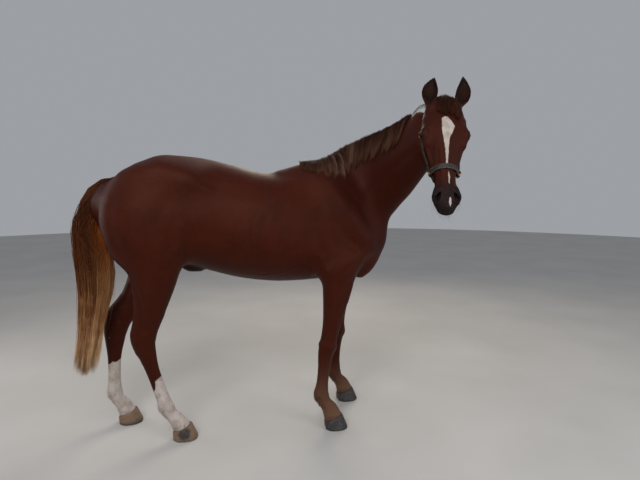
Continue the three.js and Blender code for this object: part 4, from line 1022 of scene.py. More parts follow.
class Tree:  # a small helper that adds nodes to a material or a group
    def __init__(self, tree):
        self.nodes, self.links = tree.nodes, tree.links

    def fill(self, node, inputs):  # sockets are linked and anything else is set
        for key, value in inputs.items():
            if isinstance(value, bpy.types.NodeSocket):
                self.links.new(value, node.inputs[key])
            else:
                node.inputs[key].default_value = value
        return node

    def add(self, kind, inputs=None, **settings):
        node = self.nodes.new(kind)
        for key, value in settings.items():
            setattr(node, key, value)
        return self.fill(node, inputs or {})

    def here(self):
        return self.add("ShaderNodeTexCoord").outputs["Object"]

    def math(self, operation, a, b=0.0, clamp=False):
        return self.add("ShaderNodeMath", {0: a, 1: b}, operation=operation, use_clamp=clamp).outputs[0]

    def vector(self, operation, *inputs):
        return self.add("ShaderNodeVectorMath", dict(enumerate(inputs)), operation=operation).outputs[0]

    def plus(self, a, b):
        return self.math("ADD", a, b)

    def times(self, a, b, clamp=False):
        return self.math("MULTIPLY", a, b, clamp)

    def sway(self, value, amount):  # a swing to both sides of nought
        return self.times(self.math("SUBTRACT", value, 0.5), amount)

    def length(self, a, b):
        return self.math("SQRT", self.plus(self.times(a, a), self.times(b, b)))

    def flat(self, x, y):
        return self.add("ShaderNodeCombineXYZ", {0: x, 1: y}).outputs[0]

    def mix(self, share, a, b, blend="MIX"):
        node = self.add("ShaderNodeMix", {0: share, 6: a, 7: b}, data_type="RGBA", blend_type=blend)
        return node.outputs[2]

    def shaded(self, colour, shade):
        grey = self.add("ShaderNodeCombineColor", {0: shade, 1: shade, 2: shade}).outputs[0]
        return self.mix(1.0, colour, grey, "MULTIPLY")

    def ramp(self, value, stops):
        node = self.add("ShaderNodeValToRGB", {0: value})
        elements = node.color_ramp.elements
        for element, (at, colour) in zip(elements, stops[:2]):
            element.position, element.color = at, colour
        for at, colour in stops[2:]:
            elements.new(at).color = colour
        return node.outputs[0]

    def span(self, value, low, high, toLow=0.0, toHigh=1.0):
        ends = {"Value": value, "From Min": low, "From Max": high, "To Min": toLow, "To Max": toHigh}
        return self.add("ShaderNodeMapRange", ends).outputs[0]

    def noise(self, vector, scale, detail=3.0, rough=0.5):
        inputs = {"Vector": vector, "Scale": scale, "Detail": detail, "Roughness": rough}
        return self.add("ShaderNodeTexNoise", inputs).outputs["Fac"]

    def attribute(self, name):
        node = self.add("ShaderNodeAttribute", attribute_name=name)
        return [*self.parts(node.outputs["Color"]), node.outputs["Alpha"]]

    def parts(self, colour):
        return self.add("ShaderNodeSeparateColor", {0: colour}).outputs

    def bump(self, height, strength, distance):
        inputs = {"Height": height, "Strength": strength, "Distance": distance}
        return self.add("ShaderNodeBump", inputs).outputs[0]


def linear(*srgb):  # colour given as 0 to 255
    parts = [c / 255 for c in srgb]
    return (*[c / 12.92 if c <= 0.04045 else ((c + 0.055) / 1.055) ** 2.4 for c in parts], 1.0)


def newMaterial(name):
    material = bpy.data.materials.new(name)
    material.use_nodes = True
    tree = Tree(material.node_tree)
    return material, tree, next(n for n in tree.nodes if n.type == "BSDF_PRINCIPLED")


def newGroup(name, ins, outs):
    group = bpy.data.node_groups.new(name, "ShaderNodeTree")
    for label, kind, value in ins:
        socket = group.interface.new_socket(label, in_out="INPUT", socket_type="NodeSocket" + kind)
        if value is not None:
            socket.default_value = value
    for label, kind in outs:
        group.interface.new_socket(label, in_out="OUTPUT", socket_type="NodeSocket" + kind)
    tree = Tree(group)
    return group, tree, tree.add("NodeGroupInput").outputs, tree.add("NodeGroupOutput")


# Short hair lying along one direction: fine streaks, broken by a slow warp.
lieGroup, tree, ins, end = newGroup(
    "hairLie",
    [("Vector", "Vector", None), ("Turn", "Vector", None), ("Fine", "Float", 900.0),
     ("Stretch", "Float", 0.09)],
    [("Streaks", "Float")],
)
warp = tree.add("ShaderNodeTexNoise", {"Vector": ins["Vector"], "Scale": 14.0, "Detail": 2.0})
warp = tree.vector("SUBTRACT", warp.outputs["Color"], (0.5, 0.5, 0.5))
bent = tree.vector("MULTIPLY_ADD", warp, (0.02, 0.02, 0.02), ins["Vector"])
turned = tree.add("ShaderNodeVectorRotate", {"Vector": bent, "Rotation": ins["Turn"]},
                  rotation_type="EULER_XYZ")
x, y, z = tree.add("ShaderNodeSeparateXYZ", {0: turned.outputs[0]}).outputs
packed = tree.add("ShaderNodeCombineXYZ", {0: tree.times(x, ins["Stretch"]), 1: y, 2: z})
tree.fill(end, {"Streaks": tree.noise(packed.outputs[0], ins["Fine"], 2.0, 0.6)})

# An edge between two colours of hair, broken into hairs.
edgeGroup, tree, ins, end = newGroup(
    "hairEdge",
    [("Field", "Float", 0.5), ("Streaks", "Float", 0.5), ("Rough", "Float", 0.12),
     ("Vector", "Vector", None)],
    [("Mask", "Float")],
)
field = tree.plus(ins["Field"], tree.sway(ins["Streaks"], ins["Rough"]))
field = tree.plus(field, tree.sway(tree.noise(ins["Vector"], 60.0), 0.16))
tree.fill(end, {"Mask": tree.span(field, 0.47, 0.53)})

coat = {
    "base": linear(58, 18, 8), "deep": linear(45, 12, 6), "glow": linear(78, 30, 14),
    # neck and face are darker, painted shade; the back is paler and greyer, a painted highlight
    "neck": linear(43, 11, 6), "face": linear(45, 13, 8), "back": linear(60, 24, 17),
    "leg": linear(55, 18, 9),
    "white": linear(186, 180, 174), "whiteShade": linear(150, 138, 128), "pinkSkin": linear(150, 116, 102),
    "muzzle": linear(16, 15, 19), "muzzlePale": linear(27, 24, 28), "tan": linear(104, 78, 61),
    # painted shade: the ear cup colour darkens the ear hollows, the rim colour the upper ears, the nostril
    # colour in and round the nostrils
    "earCupShade": linear(18, 10, 9), "rim": linear(12, 7, 7), "nostril": linear(12, 8, 9),
    "streaks": {  # fineness and turn of the hair's lie on each part
        "torso": (700.0, (0, 0.25, 0)), "leg": (900.0, (0, 1.5708, 0)), "neck": (760.0, (0, 0.85, 0.75)),
        "head": (1100.0, tuple(Matrix(headTurn.tolist()).transposed().to_euler("XYZ"))),
    },
    "shine": {"Specular IOR Level": 0.17, "Specular Tint": (1.0, 0.58, 0.42, 1.0)},
}


def coatColours():  # the colour of the hair at a place, the same for the skin and the tufts on it
    group, tree, ins, end = newGroup(
        "coatColour",
        [("Place", "Vector", None), ("Lie", "Color", None), ("Leg", "Float", 0.0), ("Marks", "Color", None),
         ("Rim", "Float", 0.0), ("Shades", "Color", None), ("Belly", "Float", 0.0)],
        [("Colour", "Color"), ("Streaks", "Float"), ("Clouds", "Float")],
    )
    place = ins["Place"]
    _, neckShare, headShare = tree.parts(ins["Lie"])
    white, dark, tan = tree.parts(ins["Marks"])
    cup, nose, back = tree.parts(ins["Shades"])
    streaks = None
    for share, (fine, turn) in zip((None, ins["Leg"], neckShare, headShare), coat["streaks"].values()):
        lie = tree.add("ShaderNodeGroup", {"Vector": place, "Turn": turn, "Fine": fine}, node_tree=lieGroup)
        lie = lie.outputs["Streaks"]
        if streaks is not None:
            lie = tree.add("ShaderNodeMix", {0: share, 2: streaks, 3: lie}, data_type="FLOAT").outputs[0]
        streaks = lie
    patches = tree.noise(place, 7.0)
    clouds = tree.noise(place, 28.0, 4.0, 0.6)
    colour = tree.mix(tree.span(patches, 0.3, 0.75), coat["base"], coat["deep"])
    # the glow follows the clouds at random; neck, face and belly are darkened as painted shade, the back
    # paled as a painted highlight
    for share, amount, key in ((tree.span(clouds, 0.45, 0.8), 0.3, "glow"), (neckShare, 0.6, "neck"),
                               (headShare, 0.6, "face"), (back, 0.55, "back"), (ins["Leg"], 0.5, "leg"),
                               (ins["Belly"], 0.35, "deep")):
        colour = tree.mix(tree.times(share, amount), colour, coat[key])
    colour = tree.shaded(colour, tree.span(streaks, 0.3, 0.7, 0.74, 1.26))
    tanEdge = tree.times(tan, tree.span(streaks, 0.2, 0.8, 0.7, 1.2), clamp=True)
    colour = tree.mix(tanEdge, colour, coat["tan"])
    # painted shade: darker upper ears and ear hollows
    colour = tree.mix(tree.times(ins["Rim"], 0.75), colour, coat["rim"])
    colour = tree.mix(tree.times(cup, 0.92), colour, coat["earCupShade"])
    darkEdge = tree.times(dark, tree.span(clouds, 0.3, 0.7, 0.8, 1.15), clamp=True)
    skinTone = tree.mix(tree.span(tree.noise(place, 90.0), 0.45, 0.75), coat["muzzle"], coat["muzzlePale"])
    colour = tree.mix(darkEdge, colour, skinTone)
    inputs = {"Field": white, "Streaks": streaks, "Vector": place}
    edge = tree.add("ShaderNodeGroup", inputs, node_tree=edgeGroup)
    whiteTone = tree.mix(tree.span(clouds, 0.4, 0.75), coat["white"], coat["whiteShade"])
    whiteTone = tree.mix(tree.times(tree.span(streaks, 0.55, 0.3), 0.5), whiteTone, coat["pinkSkin"])
    colour = tree.mix(edge.outputs["Mask"], colour, whiteTone)
    # painted shade: near black in and round the nostrils
    tree.fill(end, {"Colour": tree.mix(nose, colour, coat["nostril"]), "Streaks": streaks, "Clouds": clouds})
    return group


coatGroup = coatColours()


def coatNode(tree, place):  # the group with the piece's own masks
    inputs = {"Place": place}
    for colour, alpha in (("Lie", "Leg"), ("Marks", "Rim"), ("Shades", "Belly")):
        mask = tree.add("ShaderNodeAttribute", attribute_name=colour.lower())
        inputs.update({colour: mask.outputs["Color"], alpha: mask.outputs["Alpha"]})
    return tree.add("ShaderNodeGroup", inputs, node_tree=coatGroup).outputs


def coatMaterial():
    material, tree, shader = newMaterial("coat")
    place = tree.here()
    colour, streaks, clouds = coatNode(tree, place)
    height = tree.plus(tree.times(streaks, 0.8), tree.times(clouds, 0.9))
    height = tree.plus(height, tree.times(tree.noise(place, 900.0, 2.0), 0.25))
    tree.fill(shader, {"Base Color": colour, "Roughness": tree.span(streaks, 0.3, 0.7, 0.38, 0.58),
                       "Normal": tree.bump(height, 0.65, 0.0018), **coat["shine"]})
    return material


def tuftMaterial():
    material, tree, shader = newMaterial("tufts")
    colour, _, _ = coatNode(tree, tree.here())
    tone, along, _, _ = tree.attribute("strand")
    # painted light: the tufts are made up to 30 per cent paler than the coat under them, offsetting the shade
    # their blades cast on themselves; they also pale towards their tips
    shade = tree.plus(tree.span(tone, 0.0, 1.0, 0.92, 1.3), tree.times(along, 0.12))
    tree.fill(shader, {"Base Color": tree.shaded(colour, shade),
                       "Roughness": tree.span(tone, 0.0, 1.0, 0.45, 0.62), **coat["shine"]})
    return material


def dress(thing, material, replaced=()):
    moveTo(thing, coordinates(thing) + shift)
    thing.data.materials.clear()
    thing.data.materials.append(material)
    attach(thing, "root")
    if replaced:
        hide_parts(*replaced)


smooth(skin)
legs = ("hind_right", "hind_left", "fore_right", "fore_left")
legNodes = [name + part for name in legs for part in ("_upper", "_lower")]
dress(skin, coatMaterial(), ["torso", "sheath", "neck", "head", "ear_right", "ear_left", *legNodes])
print("skin dressed")

# ---- long hair: every strand a slim closed blade with its root in the skin

uvEdge, uvRoom, uvPatch = 0.004, 0.989, 0.003  # each strand has a small patch of the flat picture


def strandMesh(name, paths, outs, widths, tones, roots, thick=0.5):
    count, steps, _ = paths.shape
    along = np.empty_like(paths)
    along[:, 1:-1] = paths[:, 2:] - paths[:, :-2]
    along[:, 0], along[:, -1] = paths[:, 1] - paths[:, 0], paths[:, -1] - paths[:, -2]
    along = unit(along)
    outs = squareTo(outs, along)
    across = np.cross(along, outs)
    body = steps - 1
    half = widths[:, :body, None] / 2
    edge, lifted = across[:, :body] * half, outs[:, :body] * half * thick * 2
    ring = np.stack([paths[:, :body] - edge, paths[:, :body] + edge, paths[:, :body] + lifted], 2)
    vertices = np.concatenate([ring.reshape(count, body * 3, 3), paths[:, -1:]], 1)
    perStrand = body * 3 + 1
    turns = ((0, 1), (1, 2), (2, 0))
    faces = [(0, 1, 2)]
    for i in range(body - 1):
        for p, q in turns:
            a, b, c, d = i * 3 + q, i * 3 + p, i * 3 + 3 + p, i * 3 + 3 + q
            faces += [(a, b, c), (a, c, d)]
    faces += [((body - 1) * 3 + q, (body - 1) * 3 + p, body * 3) for p, q in turns]
    allFaces = (np.array(faces) + (np.arange(count) * perStrand)[:, None, None]).reshape(-1, 3)
    thing = meshObject(name, vertices.reshape(-1, 3), allFaces)
    share = np.concatenate([np.repeat(np.linspace(0, 1, steps)[:body], 3), [1.0]])
    sideways = np.concatenate([np.tile([0.0, 1.0, 0.5], body), [0.5]])
    colour = np.empty((count, perStrand, 4))
    colour[..., [0, 2, 3]] = tones[:, None]
    colour[..., 1] = share
    writeAttribute(thing, "strand", colour)
    places = uvEdge + roots[:, None] * uvRoom + np.stack([share, sideways], 1) * uvPatch
    layer = thing.data.uv_layers.new(name="OFBake")
    layer.data.foreach_set("uv", places.reshape(-1, 2)[allFaces.ravel()].astype(np.float32).ravel())
    smooth(thing)
    return thing


def strandWidths(width, spread, count, share, *taper):
    return width * random.uniform(*spread, (count, 1)) * np.interp(share, *taper)


def clearOfSkin(paths, lift, first=1):  # lifts the strands' points out of the skin
    shape = paths[:, first:].shape
    points = paths[:, first:].reshape(-1, 3)
    value, slope = valueAndSlope(skinField, points)
    lift = np.broadcast_to(lift, paths.shape[:2])[:, first:].reshape(-1)
    made = paths.copy()
    made[:, first:] = (points + unit(slope) * np.maximum(lift - value, 0)[:, None]).reshape(shape)
    return made, unit(slope).reshape(shape)


def grid(table, u, v):  # smooth look-up in a table of points, u and v in cells
    i = np.clip(u.astype(int), 0, table.shape[0] - 2)
    j = np.clip(v.astype(int), 0, table.shape[1] - 2)
    s, t = np.clip(u - i, 0, 1)[..., None], np.clip(v - j, 0, 1)[..., None]
    return ((table[i, j] * (1 - s) + table[i + 1, j] * s) * (1 - t)
            + (table[i, j + 1] * (1 - s) + table[i + 1, j + 1] * s) * t)


mane = {
    "pieces": ["mane_under", "mane_over"], "count": 4700,
    "locks": 84, "parts": 5,  # big locks, and the small ones in each
    "span": (-0.03, 0.965),  # share of the neck
    "fall": [(0.0, 0.022), (0.08, 0.045), (0.18, 0.090), (0.3, 0.125), (0.5, 0.152), (0.8, 0.165),
             (1.0, 0.140)],
    "rows": [0.0, 0.012, 0.03, 0.055, 0.085, 0.12, 0.16, 0.21],
    "lift": (0.0055, 0.0095),
    "width": 0.0018,
    "back": (0.02, 0.24),  # drift towards the withers at the tip, as a share of the fall
}


def crestFrame(u):
    points = []
    for share in u:
        start, way = neckPoint(share, 0)
        if share < 0:
            start = start + xWay * (0.52 * share)
        points.append((start, way))
    crest = onSkinFrom(points)
    along = unit(np.gradient(crest, axis=0))
    return crest, unit(np.cross(along, zWay))


def maneTable():  # the near side of the neck, by place along the crest and by height below it
    cells = 56
    crest, right = crestFrame(np.linspace(*mane["span"], cells))
    rows = np.array(mane["rows"])
    starts = crest[:, None] - zWay * rows[:, None] + right[:, None] * 0.3
    table = onSkin(starts.reshape(-1, 3), -np.repeat(right, len(rows), 0)).reshape(cells, -1, 3)
    table[:, 0] = crest
    return table, crest, right


maneSide, crest, crestRight = maneTable()
maneLocks = {
    "at": np.sort(np.linspace(0.005, 0.995, mane["locks"]) + random.normal(0, 0.006, mane["locks"])),
    "fall": random.uniform(0.84, 1.14, mane["locks"]),
    "back": random.uniform(*mane["back"], mane["locks"]),
    "tone": random.uniform(0, 1, mane["locks"]),
    "part": random.uniform(-1, 1, (mane["locks"], mane["parts"])),
    "partFall": random.uniform(0.8, 1.08, (mane["locks"], mane["parts"])),
}


def maneStrands(name, lift):
    count, steps, last = mane["count"], 8, len(crest) - 1
    share = np.linspace(0, 1, steps)
    root = random.uniform(0, 1, count)
    lock = np.abs(root[:, None] - maneLocks["at"] + random.normal(0, 0.005, (count, 1))).argmin(1)
    part = random.integers(0, mane["parts"], count)
    bend = maneLocks["part"][lock, part]
    falls = np.interp(root, *np.array(mane["fall"]).T) * maneLocks["fall"][lock]
    falls *= maneLocks["partFall"][lock, part]
    short = random.random(count) < 0.4
    falls *= np.where(short, random.uniform(0.35, 0.9, count), random.uniform(0.8, 1.04, count))
    tip = maneLocks["at"][lock] + bend * 0.010 + random.normal(0, 0.0022, count)
    length = lengthOf(np.diff(crest, axis=0)).sum()
    back = (maneLocks["back"][lock] + 0.9 * smoothStep(0.22, 0.0, root)) * falls / length
    back = back + random.normal(0, 0.004, count)
    wave = random.normal(0, 0.0016, (count, 1)) + 0.0022 * np.sin(lock * 2.4)[:, None]
    sway = wave * np.sin(share * 5 + lock[:, None] * 1.7)
    gather = random.uniform(0.45, 0.9, (count, 1)) * share ** 0.9
    where = root[:, None] * (1 - gather) + tip[:, None] * gather - back[:, None] * share ** 1.4 + sway
    drop = falls[:, None] * share
    across = random.uniform(-0.017, 0.010, count)
    v = np.interp(drop, mane["rows"], np.arange(len(mane["rows"])))
    paths = grid(maneSide, np.clip(where, 0, 1) * last, v)
    rights = crestRight[np.clip((where * last).astype(int), 0, last)]
    paths[:, 0] -= rights[:, 0] * across[:, None]
    ridge = 0.75 + 0.5 * np.cos(bend * 2)  # locks stand over one another
    height = random.uniform(0.1, 1, (count, 1)) * lift * ridge[:, None]
    lifts = height * (0.5 + 0.9 * np.exp(-((drop - 0.018) / 0.026) ** 2)) * (1 - 0.5 * share ** 3) + 0.0012
    loose = random.random(count) < 0.03  # hair that stands off
    lifts[loose] += random.uniform(0.002, 0.010, (loose.sum(), 1)) * np.sin(share * 2.6)
    paths, outs = clearOfSkin(paths, lifts)
    paths[:, 0] = clearOfSkin(paths[:, :1], 0.0, 0)[0][:, 0]
    paths[:, 0, 2] -= 0.004
    outs = np.concatenate([np.broadcast_to(zWay, (count, 1, 3)), outs], 1)
    widths = strandWidths(mane["width"], (0.5, 1.2), count, share, [0, 0.15, 0.7, 1], [0.6, 1, 0.8, 0.2])
    tones = np.stack([random.uniform(0, 1, count), root, maneLocks["tone"][lock]], 1)
    return strandMesh(name, paths, outs, widths, tones, np.stack([root, (across + 0.017) / 0.027], 1))


# A few long hairs that arch from the mane's front end to the root of the right ear.
def looseHairs():
    count, share = 11, np.linspace(0, 1, 14)
    start = random.uniform(0.955, 0.995, count)
    begin = grid(maneSide, start[:, None] * (len(crest) - 1), np.zeros((count, 1)))
    ends = ((-16, 4), (-62, -50), (-58, -44))  # in head millimetres
    end = onHead(np.stack([random.uniform(*span, count) for span in ends], 1))
    paths = begin * (1 - share[:, None]) + end[:, None] * share[:, None]
    arch = np.sin(math.pi * share ** 0.8) * random.choice([0.016, 0.028], count)[:, None]
    paths = paths + zWay * (arch * random.uniform(0.8, 1.1, (count, 1)))[..., None]
    paths[:, 0, 2] -= 0.003
    outs = np.broadcast_to(crestRight[-1], paths.shape)
    widths = np.tile(0.0012 * np.interp(share, [0, 0.8, 1], [1, 0.9, 0.5]), (count, 1))
    tones = np.stack([random.uniform(0, 1, count), start, random.uniform(0, 1, count)], 1)
    roots = np.stack([start, random.uniform(0, 1, count)], 1)
    return strandMesh("mane_loop", paths, outs, widths, tones, roots)


forelock = {
    "count": 2600, "width": 0.0016,
    "from": (-34, 16), "spread": 31,  # roots, in head millimetres
    "locks": [  # side, side of the tip in mm, reach down the face in mm
        (-1.0, -22, 50), (-0.8, -34, 76), (-0.55, -25, 90), (-0.34, -24, 74), (-0.12, -6, 100), (0.08, 6, 86),
        (0.26, 24, 104), (0.46, 38, 92), (0.62, 50, 116), (0.8, 66, 104), (0.97, 76, 84),
    ],
    "dome": (0.004, 0.022),
}


def forelockStrands():
    count, share = forelock["count"], np.linspace(0, 1, 9)
    side = random.uniform(-1, 1, count)
    deep = random.uniform(0, 1, count)
    lockSide, lockTip, lockReach = np.array(forelock["locks"], float).T
    lockTone = random.uniform(0, 1, len(lockSide))
    lock = np.abs(side[:, None] + random.normal(0, 0.10, (count, 1)) - lockSide).argmin(1)
    start, end = forelock["from"]
    x0 = start + (end - start) * deep
    short = random.random(count) < 0.35
    reach = np.where(short, random.uniform(0.35, 0.85, count), random.uniform(0.8, 1.08, count))
    x = x0[:, None] + ((lockReach[lock] - x0) * reach)[:, None] * share ** 1.1
    gather = random.uniform(0.6, 0.95, (count, 1)) * share
    y0 = (forelock["spread"] * side)[:, None]
    tip = (lockTip[lock] + random.normal(0, 3.5, count))[:, None]
    y = y0 * (1 - share) + ((y0 * 1.1 + 12) * (1 - gather) + tip * gather) * share
    y = y + 3.0 * np.sin(share * 4 + lock[:, None] * 2.1) * share
    behind = np.clip(-x / 45, 0, 1)
    away = unit(np.stack([-0.25 - 0.9 * behind, y / 260, np.ones_like(x)], 2)) @ headTurn.T
    starts = onHead(np.stack([x, y, np.full_like(x, -40.0)], 2)) + away * 0.14
    paths = onSkin(starts.reshape(-1, 3), -away.reshape(-1, 3), 40).reshape(away.shape)
    body = random.uniform(0, 1, (count, 1)) ** 0.7
    low, high = forelock["dome"]
    top = (low + (high - low) * body) * (1 - 0.45 * side[:, None] ** 2)
    rise = np.interp(share, [0, 0.12, 0.3, 0.5, 0.75, 1], [0.05, 0.5, 1.0, 0.75, 0.35, 0.10])
    wobble = 1 + 0.15 * np.sin(share * 6 + lock[:, None] * 1.3)
    paths, outs = clearOfSkin(paths, 0.0012 + top * rise * wobble)
    paths[:, 0] -= away[:, 0] * 0.004
    outs = np.concatenate([outs[:, :1], outs], 1)
    widths = strandWidths(forelock["width"], (0.6, 1.15), count, share, [0, 0.15, 0.7, 1], [0.7, 1, 0.8, 0.2])
    tones = np.stack([random.uniform(0, 1, count), np.full(count, 0.9), lockTone[lock]], 1)
    return strandMesh("forelock", paths, outs, widths, tones, np.stack([(side + 1) / 2, deep], 1))


tail = {
    "dock": [  # x, z, radius in mm down the dock
        (-690, 1404, 42), (-762, 1398, 33), (-828, 1352, 27), (-872, 1285, 22), (-897, 1210, 18),
        (-906, 1130, 13),
    ],
    "rows": [  # height, x of the middle, half length along the horse, half width
        (1400, -790, 26, 26), (1345, -822, 31, 31), (1290, -852, 36, 35), (1220, -864, 46, 41),
        (1147, -858, 66, 49), (1030, -836, 84, 57), (900, -827, 86, 59), (776, -832, 76, 54),
        (607, -858, 59, 44), (500, -876, 56, 38), (400, -896, 58, 36), (330, -908, 56, 32),
    ],
    "pieces": [  # strands, how far out in the tail, lowest and highest ends, width in mm
        ("tail_core", 2900, (0.0, 0.85), (328, 470), 0.0030),
        ("tail_middle", 2900, (0.45, 1.0), (330, 640), 0.0027),
        ("tail_outer", 2900, (0.78, 1.05), (352, 960), 0.0023),
    ],
    "locks": 58,
}
tailLocks = {
    "turn": np.linspace(-math.pi, math.pi, tail["locks"], endpoint=False)
    + random.normal(0, 0.05, tail["locks"]),
    "end": random.uniform(0, 1, tail["locks"]) ** 1.6,
    "tone": random.uniform(0, 1, tail["locks"]),
    "bow": random.normal(0, 1, tail["locks"]),
}


def tailStrands(name, count, fullness, ends, width):
    steps = 12
    share = np.linspace(0, 1, steps)
    dock = np.array(tail["dock"], float) / 1000
    rows = np.array(tail["rows"], float)[::-1] / 1000
    turn = random.uniform(-math.pi, math.pi, count)
    down = random.uniform(0, 1, count) ** 0.8
    spotX, spotZ, radius = (np.interp(down * (len(dock) - 1), np.arange(len(dock)), row) for row in dock.T)
    core = np.stack([spotX, np.zeros(count), spotZ], 1)
    outward = np.stack([np.cos(turn) * 0.62, np.sin(turn) * 0.8, np.cos(turn) * 0.15], 1)
    root = core + outward * radius[:, None]
    gap = np.angle(np.exp(1j * (turn[:, None] - tailLocks["turn"])))
    lock = np.abs(gap + random.normal(0, 0.1, (count, 1))).argmin(1)
    off = gap[np.arange(count), lock][:, None]
    out = random.uniform(*fullness, count)
    end = np.clip(tailLocks["end"][lock] * 0.55 + random.uniform(0, 0.85, count) ** 2.2, 0, 1)
    low = np.minimum((ends[0] + (ends[1] - ends[0]) * end) / 1000, root[:, 2] - 0.12)
    z = root[:, 2:] + (low - root[:, 2])[:, None] * share ** 0.92
    middle, long, wide = (np.interp(z, rows[:, 0], rows[:, k]) for k in (1, 2, 3))
    pull = np.clip(share * random.uniform(0.35, 0.95, (count, 1)), 0, 1)
    angle = turn[:, None] - off * pull
    angle = angle + 0.09 * np.sin(share * random.uniform(3, 7, (count, 1)) + random.uniform(0, 6, (count, 1)))
    spread = out[:, None] * (1 + 0.07 * np.sin(share * 8 + lock[:, None]))
    loose = random.random(count) < 0.035  # single hairs that swing clear
    spread[loose] *= 1 + random.uniform(0.05, 0.40, (loose.sum(), 1)) * share ** 1.5
    hang = np.stack([middle + np.cos(angle) * long * spread, np.sin(angle) * wide * spread, z], 2)
    hang[..., 0] += (tailLocks["bow"][lock] * 0.006)[:, None] * np.sin(share * 4)
    leave = smoothStep(0.0, 0.30, share)[:, None]
    paths = hang * leave + root[:, None] * (1 - leave)
    paths[..., 2] = z
    paths[:, 0] = core + (root - core) * 0.6
    outs = unit(np.stack([np.cos(angle) / long, np.sin(angle) / wide, np.zeros_like(z)], 2))
    widths = strandWidths(width, (0.5, 1.2), count, share, [0, 0.1, 0.65, 1], [0.7, 1, 0.85, 0.15])
    tones = np.stack([random.uniform(0, 1, count), (np.cos(turn) + 1) / 2, tailLocks["tone"][lock]], 1)
    thing = strandMesh(name, paths, outs, widths, tones, np.stack([(turn / math.pi + 1) / 2, down], 1))
    height = coordinates(thing)[:, 2]
    perStrand = 3 * (steps - 1) + 1
    hang = np.stack([(height - 0.3) / 1.2, np.repeat(out, perStrand), height, height], 1)
    writeAttribute(thing, "hang", hang)
    return thing


hairColours = {
    "mane": [(0.0, linear(32, 12, 8)), (0.4, linear(50, 24, 16)), (1.0, linear(98, 64, 48))],
    "forelock": [(0.0, linear(46, 18, 10)), (0.5, linear(42, 16, 9)), (1.0, linear(62, 28, 15))],
    # the tail's hair is flaxen low down and dark at the dock; its lowest stops are paler still, painted light
    # that offsets the shade the strands cast on one another
    "tail": [(0.0, linear(250, 216, 172)), (0.12, linear(214, 168, 120)), (0.27, linear(158, 108, 68)),
             (0.45, linear(94, 52, 26)), (0.66, linear(76, 38, 19)), (0.85, linear(84, 42, 22)),
             (1.0, linear(66, 38, 25))],
    "paler": linear(134, 104, 88), "darker": linear(36, 17, 13),  # locks of the mane and forelock; the paler colour also paints a highlight along the middle of the mane
    "glow": linear(152, 78, 30), "front": linear(190, 142, 96), "innerShade": linear(54, 28, 16),  # in the tail: painted light, a warm glow and pale strands on the front where back light catches them, and painted shade on the strands deep inside
}


def hairShader(tree, shader, colour, tone, space):
    tree.fill(shader, {
        "Base Color": tree.shaded(colour, tree.span(tone, 0.0, 1.0, 0.72, 1.2)),
        "Roughness": tree.span(tone, 0.0, 1.0, 0.38, 0.58),
        "Specular IOR Level": 0.2, "Specular Tint": (1.0, 0.7, 0.5, 1.0),
        "Normal": tree.bump(tree.noise(space, 1400.0, 2.0), 0.25, 0.0006),
    })


def hairMaterial(name, pale, dark):
    material, tree, shader = newMaterial(name)
    tone, along, place, lockTone = tree.attribute("strand")
    space = tree.here()
    stage = tree.plus(along, tree.sway(tone, 0.34))
    stage = tree.plus(stage, tree.sway(tree.noise(space, 22.0, 2.0), 0.3))
    colour = tree.ramp(stage, hairColours[name])
    # paler locks at random, and more of them along the middle of the mane, a painted highlight
    middle = tree.times(tree.span(place, 0.14, 0.28), tree.span(place, 0.62, 0.42))
    paler = tree.times(tree.span(tree.plus(lockTone, tree.times(tone, 0.5)), 0.7, 1.4), pale)
    colour = tree.mix(tree.times(paler, tree.plus(0.22, middle)), colour, hairColours["paler"])
    colour = tree.mix(tree.times(tree.span(lockTone, 0.4, 0.0), dark), colour, hairColours["darker"])
    hairShader(tree, shader, colour, tone, space)
    return material


def tailMaterial():
    material, tree, shader = newMaterial("tail")
    tone, _, front, lockTone = tree.attribute("strand")
    height, out, _, _ = tree.attribute("hang")
    space = tree.here()
    stage = height
    for value, amount in ((tone, 0.30), (lockTone, 0.22), (tree.noise(space, 14.0, 2.0), 0.25)):
        stage = tree.plus(stage, tree.sway(value, amount))
    colour = tree.ramp(stage, hairColours["tail"])
    # painted light: a warm glow on the front of the upper tail and pale strands on the front lower down, as
    # back light would catch them
    upper = tree.times(tree.span(height, 0.36, 0.6), tree.span(height, 0.98, 0.86))
    glow = tree.times(tree.times(tree.span(front, 0.62, 0.95), upper), 0.75)
    colour = tree.mix(glow, colour, hairColours["glow"])
    lower = tree.times(tree.span(height, 0.62, 0.45), tree.span(height, 0.2, 0.36))
    pale = tree.times(tree.times(tree.span(front, 0.55, 0.95), lower), 0.55)
    colour = tree.mix(pale, colour, hairColours["front"])
    # painted shade: the strands deep inside the tail are darker
    colour = tree.mix(tree.times(tree.span(out, 0.75, 0.2), 0.5), colour, hairColours["innerShade"])
    hairShader(tree, shader, colour, tone, space)
    return material


maneHair = hairMaterial("mane", 0.7, 0.5)
for name, lift in zip(mane["pieces"], mane["lift"]):
    dress(maneStrands(name, lift), maneHair)
dress(looseHairs(), maneHair)
dress(forelockStrands(), hairMaterial("forelock", 0.15, 0.4))
tailHair = tailMaterial()
for name, count, outward, ends, width in tail["pieces"]:
    replaced = ["tail"] if name == "tail_core" else []
    dress(tailStrands(name, count, outward, ends, width), tailHair, replaced)
print("long hair made")

# ---- short tufts where the coat breaks the form


def lieWay(points, masks):  # which way the hair lies
    drop = -0.25 - 0.4 * smoothStep(1.3, 1.0, points[:, 2])
    way = unit(np.stack([-np.ones(len(points)), np.zeros(len(points)), drop], 1))
    _, neckShare, headShare, legShare = masks["lie"].T[..., None]
    aims = (-zWay, unit((-0.45, 0.25, -0.75)), headWay(1, 0, -0.05))
    for aim, share in zip(aims, (legShare, neckShare, headShare)):
        way = way + (aim - way) * share
    return unit(way)


